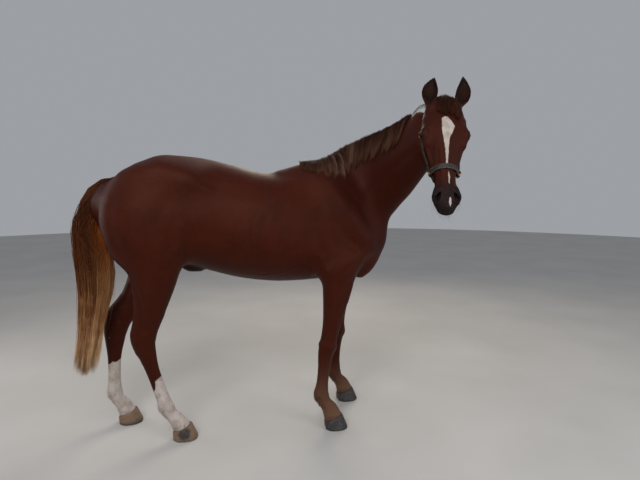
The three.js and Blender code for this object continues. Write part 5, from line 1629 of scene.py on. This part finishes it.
def pickRoots(chosen, count):  # places on the skin's faces, even over their area
    faces = skin.data.polygons
    centres = values(faces, "center") - shift
    areas = np.empty(len(faces), np.float32)
    faces.foreach_get("area", areas)
    weight = chosen(centres) * areas
    picked = random.choice(len(areas), count, p=weight / weight.sum())
    normal = values(faces, "normal")[picked]
    jitter = random.normal(0, 1, (count, 3)) * np.sqrt(areas[picked])[:, None] * 0.45
    jitter -= normal * np.sum(jitter * normal, 1, keepdims=True)
    return centres[picked] + jitter, normal


# A flat place for each root: trunk, neck and head round their axis, the legs round theirs.
def atlas(points, masks):
    x, y, z = points.T
    down, left, level = headLocal(points).T
    onHeadPart = masks["lie"][:, 2] > 0.5
    u = np.clip((x + 0.95) / 2.0, 0, 1) * 0.56
    v = (np.arctan2(y, z - 1.15) / (2 * math.pi) + 0.5) * 0.96
    u = np.where(onHeadPart, 0.58 + np.clip((down + 190) / 740, 0, 1) * 0.18, u)
    v = np.where(onHeadPart, (np.arctan2(left, level + 85) / (2 * math.pi) + 0.5) * 0.96, v)
    for number, name in enumerate(legRows):
        near = nearLeg(name, points) & ~onHeadPart
        turn = legAxis(name, points)[1] / 360 + 0.5
        u = np.where(near, 0.78 + (number % 2) * 0.11 + turn * 0.10, u)
        v = np.where(near, (number // 2) * 0.5 + np.clip(z / 0.75, 0, 1) * 0.46, v)
    return np.stack([u, v], 1)


def tufts(name, roots, normals, length, width, rise, steps=4, ways=None, curl=0.0):
    count = len(roots)
    masks = skinMasks(roots)
    way = lieWay(roots, masks) if ways is None else ways
    way = squareTo(way + random.normal(0, 0.16, (count, 3)), normals)
    share = np.linspace(0, 1, steps)
    long = (length * random.uniform(0.6, 1.2, count))[:, None]
    rise = (rise * random.uniform(0.5, 1.3, count))[:, None]
    run = long * share
    high = rise * long * np.sin(share * 1.9) - curl * run * share
    paths = roots[:, None] + way[:, None] * run[..., None] + normals[:, None] * (high - 0.0006)[..., None]
    outs = np.broadcast_to(normals[:, None], paths.shape)
    widths = strandWidths(width, (0.7, 1.2), count, share, [0, 0.3, 1], [0.8, 1, 0.2])
    tones = np.stack([random.uniform(0, 1, count), np.zeros(count), np.zeros(count)], 1)
    thing = strandMesh(name, paths, outs, widths, tones, atlas(roots, masks), 0.2)
    for layer, mask in masks.items():
        writeAttribute(thing, layer, np.repeat(mask, 3 * (steps - 1) + 1, axis=0))
    dress(thing, tuftLook)


def inBox(x=None, y=None, z=None):  # lowest and highest along each axis
    def test(points):
        chosen = np.ones(len(points), bool)
        for at, span in zip(points.T, (x, y, z)):
            if span:
                chosen &= (at > span[0]) & (at < span[1])
        return chosen
    return test


def onLegs(low, high, rear=-1):  # heights, and how far round from the front at least, in degrees
    def test(points):
        z = points[:, 2]
        chosen = np.zeros(len(points), bool)
        for name in legRows:
            turn = np.abs(legAxis(name, points)[1])
            chosen |= nearLeg(name, points, 0.1) & (z > low) & (z < high) & (turn > rear)
        return chosen
    return test


headSkin = -0.42  # the head lies to the right of this


def onJaw(points):
    x, _, z = headLocal(points).T
    return (z < -150) & (x > 60) & (points[:, 1] < -0.4)


def onLips(points):
    x, _, z = headLocal(points).T
    return (x > 455) & (z < -70) & (points[:, 1] < headSkin)


def sleek(points):  # everywhere, thicker on the face
    down = headLocal(points)[:, 0]
    face = (down > 60) & (points[:, 1] < headSkin)
    bare = (down > 430) & face | (points[:, 2] < 0.06) | nearAny(points, eyeMiddles, 0.036)
    return np.where(bare, 0.0, np.where(face, 1.6, 1.0))


tuftLook = tuftMaterial()
tuftPlaces = {  # where, how many, length, width, rise
    "fetlock": (onLegs(0.125, 0.205, 118), 900, 0.017, 0.0015, 0.30),
    "coronet": (onLegs(0.055, 0.088), 1900, 0.012, 0.0013, 0.18),
    "cannon": (onLegs(0.20, 0.46, 140), 900, 0.010, 0.0011, 0.16),
    "jaw": (onJaw, 900, 0.010, 0.0010, 0.14),
    "belly": (inBox((-0.42, 0.42), (-0.07, 0.07), (0.80, 0.93)), 1500, 0.013, 0.0012, 0.16),
    "breast": (inBox((0.54, 9), (-0.10, 0.10), (0.90, 1.14)), 900, 0.012, 0.0012, 0.14),
    "buttock": (inBox((-9, -0.60), (-0.07, 0.07), (0.80, 9)), 1200, 0.014, 0.0013, 0.14),
    "dock": (inBox((-9, -0.655), (-0.055, 0.055), (1.385, 9)), 700, 0.030, 0.0018, 0.10),
    "elbow": (inBox((0.29, 0.43), None, (0.84, 1.0)), 800, 0.012, 0.0012, 0.14),
}
for name, (chosen, count, *sizes) in tuftPlaces.items():
    tufts("tufts_" + name, *pickRoots(chosen, count), *sizes)

roots, normals = pickRoots(sleek, 15000)
onFace = headLocal(roots)[:, 0] * (roots[:, 1] < headSkin) > 0
tufts("coat_short", roots, normals, np.where(onFace, 0.0065, np.where(roots[:, 2] < 0.7, 0.008, 0.012)),
      0.0009, 0.05, steps=3)


def earHair(name, count=420):  # long soft hair in the ears
    ear = ears[name]
    share = random.uniform(0.10, 0.72, count)
    edge = random.choice((-1, 1), count) * random.uniform(0.4, 0.8, count)
    at, halves, _ = np.array(ears["cup"], float).T
    middle, front, across = (np.array(part) for part in zip(*[earLine(ear, t) for t in share]))
    deep = 10 - 18 * (1 - np.abs(edge))
    local = middle + front * deep[:, None] + across * (np.interp(share, at, halves) * edge)[:, None]
    roots = settle(skinField, onHead(local), skinLevel, 0.01, 3)
    slope = valueAndSlope(skinField, roots)[1]
    upward = np.array(ear["tip"], float) - np.array(ear["root"], float)
    ways = unit(upward) - across * np.sign(edge)[:, None] * 0.4 + front[0] * 0.2
    tufts("ear_hair_" + name, roots, unit(slope), 0.014, 0.0009, 0.16, 5, unit(ways @ headTurn.T), 0.1)


def lashes(name, count=110):
    middle, out, along, up = eyePlaces[name]
    turns = np.radians(random.uniform(34, 146, count))[:, None]
    u, v = eyes["halfLong"] * 0.98 * np.cos(turns), eyes["halfHigh"] * 1.02 * np.sin(turns)
    roots = onSkin(middle + along * u / 1000 + up * v / 1000 + out * 0.03, -out)
    ways = unit(up * 0.35 + out * 0.9 + along * (np.cos(turns) * 0.5))
    tufts("lashes_" + name, roots, unit(ways + up * 0.4), 0.010, 0.0005, 0.4, 5, ways)


for name in eyePlaces:
    earHair(name)
roots, normals = pickRoots(onLips, 90)
tufts("whiskers", roots, normals, 0.030, 0.0005, 0.9, 6, unit(normals + headWay(0.7, 0, -0.5)), 0.35)
for name in eyePlaces:
    lashes(name)
print("tufts made")

# ---- floor


def floorMaterial():
    material, tree, shader = newMaterial("floor")
    place = tree.here()
    plain = studio["floor"]
    paler = [c * 1.12 for c in plain]
    tone = tree.mix(tree.span(tree.noise(place, 1.3, 4.0), 0.3, 0.7), (*plain, 1), (*paler, 1))
    tree.fill(shader, {"Base Color": tone, "Roughness": 0.85,
                       "Normal": tree.bump(tree.noise(place, 160.0, 4.0), 0.15, 0.002)})
    return material


floor.data.materials.append(floorMaterial())

# ---- eyes

eyeballs = {
    "segments": 48, "rings": 32,
    "cornea": (13.5, 1.3),  # radius of the bulge and its height, mm
    "pupil": (7.6, 3.9),  # half length and half height, mm
    "iris": 14.5,
}


def eyeMaterial():
    material, tree, shader = newMaterial("eye")
    u, v, _, _ = tree.attribute("gaze")
    u, v = tree.sway(u, 40.0), tree.sway(v, 40.0)  # mm from the middle
    long, high = eyeballs["pupil"]
    slit = tree.length(tree.math("DIVIDE", u, long), tree.math("DIVIDE", v, high))
    away = tree.length(u, v)
    spokes = tree.flat(tree.times(tree.math("ARCTAN2", v, u), 9.0), tree.times(away, 0.12))
    edge = eyeballs["iris"]
    iris = tree.ramp(tree.noise(spokes, 2.2), [(0.3, linear(20, 9, 6)), (0.7, linear(48, 24, 12))])
    iris = tree.mix(tree.span(away, 9.0, edge), iris, linear(14, 8, 8))
    colour = tree.mix(tree.span(slit, 1.08, 0.94), iris, linear(4, 4, 7))
    colour = tree.mix(tree.span(away, edge - 0.4, edge + 1.0), colour, linear(22, 15, 14))
    tree.fill(shader, {"Base Color": colour, "Roughness": 0.07, "Specular IOR Level": 0.3,
                       "Coat Weight": 0.2, "Coat Roughness": 0.03})
    return material


def eyeball(name, material):
    middle, out, along, up = eyePlaces[name]
    bpy.ops.object.select_all(action="DESELECT")
    bpy.ops.mesh.primitive_uv_sphere_add(segments=eyeballs["segments"], ring_count=eyeballs["rings"],
                                         radius=eyes["radius"] / 1000)
    ball = bpy.context.object
    ball.name = "eyeball_" + name
    points = coordinates(ball)
    reach, height = eyeballs["cornea"]
    away = lengthOf(points[:, :2]) * 1000
    bulge = height / 1000 * np.clip(1 - (away / reach) ** 2, 0, 1) ** 1.5
    points[:, 2] += np.where(points[:, 2] > 0, bulge, 0)
    gaze = np.concatenate([points * 25 + 0.5, np.ones((len(points), 1))], 1)
    axes = np.stack([along, up, out])
    if np.linalg.det(axes) < 0:
        inEdit(ball, bpy.ops.mesh.flip_normals)
    moveTo(ball, points @ axes + middle)
    writeAttribute(ball, "gaze", gaze)
    smooth(ball)
    dress(ball, material, ["eye_" + name])


eyeLook = eyeMaterial()
for name in eyePlaces:
    eyeball(name, eyeLook)
print("eyes made")

# ---- hooves

hooves = {
    "feet": {  # where the sole's middle is, and how far the toe turns to the left in degrees
        "hind_right": ((-392, -133), -4), "hind_left": ((-718, 116), 5),
        "fore_right": ((437, -173), -3), "fore_left": ((588, 176), 4),
    },
    "top": 62, "slant": 0.38, "sides": 72,
    "rings": [  # share of the height, forward, half length, half width
        (0.0, 17, 66, 56), (0.015, 17, 69, 59), (0.09, 16, 70, 60), (0.24, 13.5, 67.3, 57.8),
        (0.4, 10.8, 64.6, 55.5), (0.56, 8, 61.9, 53.2), (0.72, 5.2, 59.2, 50.8), (0.85, 3, 57, 49),
        (0.93, 1.3, 55.2, 47), (0.985, 0.2, 52.6, 44.4), (1.0, 0, 49.5, 41.5),
    ],
    "fine": 4,  # rings between two rows
    "ridges": (7, 0.55),  # growth rings and their depth, mm
    "cleft": 7,  # depth of the hollow between the heels
}


def wallAndSole():
    bpy.ops.mesh.fill_grid()
    bpy.ops.mesh.region_to_loop()
    for _ in range((len(hooves["rings"]) - 1) * hooves["fine"]):
        bpy.ops.mesh.extrude_edges_move(TRANSFORM_OT_translate={"value": (0, 0, 1)})
    bpy.ops.mesh.fill_grid()
    bpy.ops.mesh.select_all(action="SELECT")


def hoofPiece(name, material):
    bpy.ops.object.select_all(action="DESELECT")
    bpy.ops.mesh.primitive_circle_add(vertices=hooves["sides"], radius=1.0, fill_type="NOTHING")
    hoof = bpy.context.object
    hoof.name = "hoof_" + name
    inEdit(hoof, wallAndSole, faceOut)
    unitX, unitY, ring = coordinates(hoof).T
    rows = np.array(hooves["rings"], float)
    level = ring / hooves["fine"]
    rise, ahead, long, wide = (np.interp(level, np.arange(len(rows)), row) for row in rows.T)
    radial, a = np.hypot(unitX, unitY), np.arctan2(unitY, unitX)
    count, deep = hooves["ridges"]
    ridge = deep * np.sin(rise * count * 2 * math.pi + 0.8 * np.cos(a))
    ridge = ridge * smoothStep(0.05, 0.2, rise) * (1 - smoothStep(0.8, 0.95, rise))
    heel = np.exp(-((np.abs(a) - math.pi) / 0.30) ** 2)
    long = (long + ridge) * np.where(np.cos(a) < 0, 0.92, 1) - hooves["cleft"] * heel * (1 - rise * 0.4)
    square = 1 + 0.035 * np.cos(2 * a) ** 2 * np.sign(-np.cos(4 * a))
    x = ahead + long * np.cos(a) * radial * square
    y = (wide + ridge) * np.sin(a) * radial * square
    z = rise * (hooves["top"] + hooves["slant"] * (x - ahead))
    z = np.where((ring < 0.5) & (radial < 0.93), 3.5 * (1 - radial), z)  # the sole is hollow
    (atX, atY), toe = hooves["feet"][name]
    c, s = math.cos(math.radians(toe)), math.sin(math.radians(toe))
    moveTo(hoof, np.stack([x * c - y * s + atX, x * s + y * c + atY, z], 1) / 1000)
    edge = smoothStep(0.94, 1.0, rise)
    writeAttribute(hoof, "wall", np.stack([rise, edge, (a / math.pi + 1) / 2, radial], 1))
    smooth(hoof)
    dress(hoof, material, [name + "_hoof"])


hornColours = {
    "light": (linear(136, 110, 84), linear(96, 74, 56), linear(44, 36, 34)),
    "dark": (linear(52, 46, 47), linear(34, 30, 32), linear(22, 20, 22)),
    "dust": linear(112, 100, 88),
}


def hoofMaterial(name, horn, darkRim=0.0, stain=None):
    material, tree, shader = newMaterial("hoof_" + name)
    rise, edge, turn, _ = tree.attribute("wall")
    place = tree.here()
    light, mid, dark = hornColours[horn]
    tubules = tree.noise(tree.flat(tree.times(turn, 60.0), tree.times(rise, 1.6)), 3.0, 4.0, 0.6)
    rings = tree.noise(tree.flat(tree.times(turn, 1.5), tree.times(rise, 12.0)), 2.0)
    dirt = tree.noise(place, 45.0, 5.0, 0.65)
    colour = tree.mix(tree.span(tubules, 0.32, 0.68), light, mid)
    colour = tree.mix(tree.times(tree.span(rings, 0.5, 0.72), 0.5), colour, mid)
    if darkRim:
        colour = tree.mix(tree.times(tree.span(rise, 0.42, 0.1), darkRim), colour, dark)
    if stain:
        *middle, size = stain
        spot = {0: place, 1: tuple(shift + middle)}
        away = tree.add("ShaderNodeVectorMath", spot, operation="DISTANCE").outputs["Value"]
        near = tree.plus(away, tree.sway(dirt, 0.02))
        colour = tree.mix(tree.span(near, size, size * 0.6), colour, dark)
    colour = tree.mix(tree.times(tree.span(dirt, 0.52, 0.75), 0.55), colour, hornColours["dust"])
    height = tree.plus(tree.times(tubules, 0.6), tree.times(dirt, 0.7))
    tree.fill(shader, {"Base Color": tree.mix(edge, colour, mid),
                       "Roughness": tree.span(dirt, 0.3, 0.7, 0.42, 0.7),
                       "Normal": tree.bump(height, 0.5, 0.0008)})
    return material


hoofDark = hoofMaterial("dark", "dark")
hoofPiece("hind_right", hoofMaterial("right", "light", 0.35, (-0.375, -0.185, 0.045, 0.042)))
hoofPiece("hind_left", hoofMaterial("left", "light", 0.8))
hoofPiece("fore_right", hoofDark)
hoofPiece("fore_left", hoofDark)
print("hooves made")

# ---- headcollar: flat leather straps with stitched edges, brass rings and buckles

halter = {
    "thick": 4.2, "clear": 0.6, "sunk": 1.2,  # mm, of the straps over the skin
    "stitch": (3.2, 0.9, 0.7), "stitchGap": 5.0, "stitchInset": 3.0,  # mm
    "noseband": {"x": 345, "z": -90, "width": 25},
    "cheek": [(92, -104), (150, -116), (215, -118), (275, -110), (330, -100)],
    "cheekWidth": 20,
    "crown": {"x": 44, "z": -104, "width": 20, "turns": (-130, 130)},
    "ring": {"x": 341, "z": -99, "radius": 13, "wire": 2.6, "out": 9.5},
    "buckle": {"at": 9, "long": 17, "wide": 14.5, "wire": 1.7, "prong": 1.4, "lift": 6.2},
    "tab": {"turn": 4.6, "section": [(-7, -1), (7, -1), (7, 1), (-7, 1)]},
}
headOnly = fieldOf(fleshSteps)


def alongLine(points, closed):
    if closed:
        return unit(np.roll(points, -1, 0) - np.roll(points, 1, 0))
    return unit(np.gradient(points, axis=0))


def sweep(name, points, outs, section, closed):
    count, size = len(points), len(section)
    along = alongLine(points, closed)
    outs = squareTo(outs, along)
    across = np.cross(outs, along)
    section = np.array(section) / 1000
    ring = points[:, None] + across[:, None] * section[:, :1] + outs[:, None] * section[:, 1:]
    i = np.arange(count if closed else count - 1)[:, None] * size
    after = (i + size) % (count * size)
    j = np.arange(size)
    past = (j + 1) % size
    faces = np.stack([(i + j).ravel(), (after + j).ravel(), (after + past).ravel(), (i + past).ravel()], 1)
    thing = meshObject(name, ring.reshape(-1, 3), faces)
    inEdit(thing, *([] if closed else [closeEnds]), faceOut)
    smooth(thing)
    return thing


def strapSection(width, low, high):  # flat, with rounded edges
    curve = (high - low) * 0.42
    x, points = width / 2 - curve, []
    corners = ((x, high - curve), (-x, high - curve), (-x, low + curve), (x, low + curve))
    for turn, (atX, atY) in zip((0, 90, 180, 270), corners):
        for a in np.radians((turn, turn + 30, turn + 60, turn + 90)):
            points.append((atX + curve * math.cos(a), atY + curve * math.sin(a)))
    return points


def creased(thing):  # smooth, but not over sharp edges
    onlySelect(thing)
    bpy.ops.object.shade_smooth_by_angle(angle=math.radians(40))


def strap(name, points, width, closed, replaced):
    for _ in range(6):  # ease the line
        before, after = np.roll(points, 1, 0), np.roll(points, -1, 0)
        if not closed:
            before[0], after[-1] = points[0], points[-1]
        points = (points * 2 + before + after) / 4
    value, slope = valueAndSlope(headOnly, points)
    outs = unit(slope)
    for _ in range(4 if closed else 0):
        outs = unit(np.roll(outs, 1, 0) + outs * 2 + np.roll(outs, -1, 0))
    points = points + outs * np.maximum(-value, 0)[:, None]
    low, high = halter["clear"] - halter["sunk"], halter["clear"] + halter["thick"]
    band = sweep(name, points, outs, strapSection(width, low, high), closed)
    creased(band)
    dress(band, leather, [replaced])
    along = alongLine(points, closed)
    runs = np.concatenate([[0], np.cumsum(lengthOf(np.diff(points, axis=0)))])

    def at(rows):
        return np.array([np.interp(place, runs, row) for row in rows.T])

    box = np.array([[x, y, z] for x in (-1, 1) for y in (-1, 1) for z in (-0.6, 1)]) / 2
    box = box * np.array(halter["stitch"]) / 1000
    sides = np.array([(0, 1, 3, 2), (4, 6, 7, 5), (0, 4, 5, 1), (2, 3, 7, 6), (0, 2, 6, 4), (1, 5, 7, 3)])
    vertices, faces = [], []
    inset = (width / 2 - halter["stitchInset"]) / 1000
    for edge in (-inset, inset):
        for place in np.arange(0.006, runs[-1] - 0.005, halter["stitchGap"] / 1000):
            way = unit(at(along))
            out = squareTo(at(outs), way)
            cross = np.cross(out, way)
            spot = at(points) + cross * edge + out * (high / 1000)
            faces.append(sides + len(vertices) * 8)
            vertices.append(spot + box @ np.stack([way, cross, out]))
    stitches = meshObject(name + "_stitches", np.concatenate(vertices), np.concatenate(faces))
    inEdit(stitches, faceOut)
    dress(stitches, thread)
    return points, outs


def leatherMaterial():
    material, tree, shader = newMaterial("leather")
    place = tree.here()
    grain = tree.add("ShaderNodeTexVoronoi", {"Vector": place, "Scale": 900.0}, feature="DISTANCE_TO_EDGE")
    grain = grain.outputs["Distance"]
    wear = tree.noise(place, 70.0, 5.0, 0.6)
    colour = tree.mix(tree.span(wear, 0.45, 0.75), linear(17, 13, 13), linear(40, 29, 25))
    colour = tree.mix(tree.times(tree.span(grain, 0.12, 0.0), 0.5), colour, linear(8, 6, 6))
    height = tree.plus(tree.span(grain, 0.0, 0.2), tree.times(tree.noise(place, 260.0), 0.8))
    tree.fill(shader, {"Base Color": colour, "Roughness": tree.span(wear, 0.35, 0.7, 0.36, 0.6),
                       "Normal": tree.bump(height, 0.4, 0.0005)})
    return material


def threadMaterial():
    material, tree, shader = newMaterial("thread")
    twist = tree.noise(tree.here(), 1500.0, 2.0)
    tree.fill(shader, {"Base Color": tree.mix(twist, linear(96, 82, 62), linear(150, 132, 102)),
                       "Roughness": 0.7, "Normal": tree.bump(twist, 0.3, 0.0003)})
    return material


def brassMaterial():
    material, tree, shader = newMaterial("brass")
    place = tree.here()
    tarnish = tree.noise(place, 120.0, 5.0, 0.65)
    colour = tree.mix(tree.span(tarnish, 0.4, 0.75), linear(190, 150, 84), linear(110, 82, 48))
    tree.fill(shader, {"Base Color": colour, "Roughness": tree.span(tarnish, 0.35, 0.75, 0.22, 0.5),
                       "Metallic": 1.0, "Normal": tree.bump(tree.noise(place, 700.0), 0.15, 0.0003)})
    return material


leather, thread, brass = leatherMaterial(), threadMaterial(), brassMaterial()


def strapRound(name, own, ways, reach, closed):  # laid over the head from all round
    line = land(headOnly, onHead(own["x"], 0, own["z"]) + ways * reach, -ways)
    strap("halter_" + name + "_strap", line, own["width"], closed, "halter_" + name)


turns = np.linspace(0, 2 * math.pi, 140, endpoint=False)
ways = np.array([headWay(0, math.sin(a), math.cos(a)) for a in turns])
strapRound("noseband", halter["noseband"], ways, 0.25, True)
turns = np.radians(np.linspace(*halter["crown"]["turns"], 90))
ways = np.array([headWay(-math.cos(a), math.sin(a), 0) for a in turns])
strapRound("crown", halter["crown"], ways, 0.3, False)


def roundAngles(count):
    return np.linspace(0, 2 * math.pi, count, endpoint=False)[:, None]


def disc(radius, count):  # a wire's section
    a = roundAngles(count)
    return np.concatenate([np.cos(a), np.sin(a)], 1) * radius


def wire(name, points, out, section, closed, replaced=()):
    dress(sweep(name, points, np.broadcast_to(out, points.shape), section, closed), brass, replaced)


def ringAndTabs(name, sideways):
    ring, tab = halter["ring"], halter["tab"]
    middle = land(headOnly, [onHead(ring["x"], 0, ring["z"]) + sideways * 0.25], -sideways)
    out = unit(valueAndSlope(headOnly, middle)[1][0])
    middle = middle[0] + out * ring["out"] / 1000
    first = squareTo(headWay(1, 0, 0), out)
    second = np.cross(out, first)
    a = roundAngles(48)
    hoop = middle + (first * np.cos(a) + second * np.sin(a)) * ring["radius"] / 1000
    wire("halter_hoop_" + name, hoop, out, disc(ring["wire"], 12), True, ["halter_ring_" + name])
    a = roundAngles(20)
    for sign, label in ((1, "nose"), (-1, "cheek")):  # tabs hold the ring to the noseband and the cheek strap
        turned = (first * sign * np.cos(a) + out * np.sin(a)) * tab["turn"] / 1000
        spot = middle + first * sign * ring["radius"] / 1000
        keeper = sweep("halter_tab_" + label + "_" + name, spot + turned, turned, tab["section"], True)
        creased(keeper)
        dress(keeper, leather)


def buckleOn(name, line, outs):  # near the top of the cheek
    buckle, k = halter["buckle"], halter["buckle"]["at"]
    out = outs[k]
    spot = line[k] + out * buckle["lift"] / 1000
    way = squareTo(unit(line[k + 1] - line[k - 1]), out)
    a = roundAngles(48)
    square = [np.copysign(np.abs(part) ** 0.45, part) for part in (np.cos(a), np.sin(a))]
    corners = spot + way * buckle["long"] / 1000 * square[0]
    corners = corners + np.cross(out, way) * buckle["wide"] / 1000 * square[1]
    wire("halter_buckle_" + name, corners, out, disc(buckle["wire"], 12), True)
    t = np.linspace(-1, 1.04, 12)[:, None]
    prong = spot + way * t * buckle["long"] / 1000 + out * (0.0016 + 0.0012 * (1 - t * t))
    wire("halter_prong_" + name, prong, out, disc(buckle["prong"], 10), False)


for name, side in (("right", -1), ("left", 1)):
    path = smoothLine(np.array([(x, 0, z) for x, z in halter["cheek"]], float))
    stops = np.linspace(0, len(path) - 1, 70)
    even = np.stack([np.interp(stops, np.arange(len(path)), row) for row in path.T], 1)
    sideways = headWay(0, side, 0)
    line = land(headOnly, onHead(even) + sideways * 0.25, -sideways)
    replaced = "halter_cheek_" + name
    line, outs = strap("halter_cheek_strap_" + name, line, halter["cheekWidth"], False, replaced)
    ringAndTabs(name, sideways)
    buckleOn(name, line, outs)
print("headcollar made")
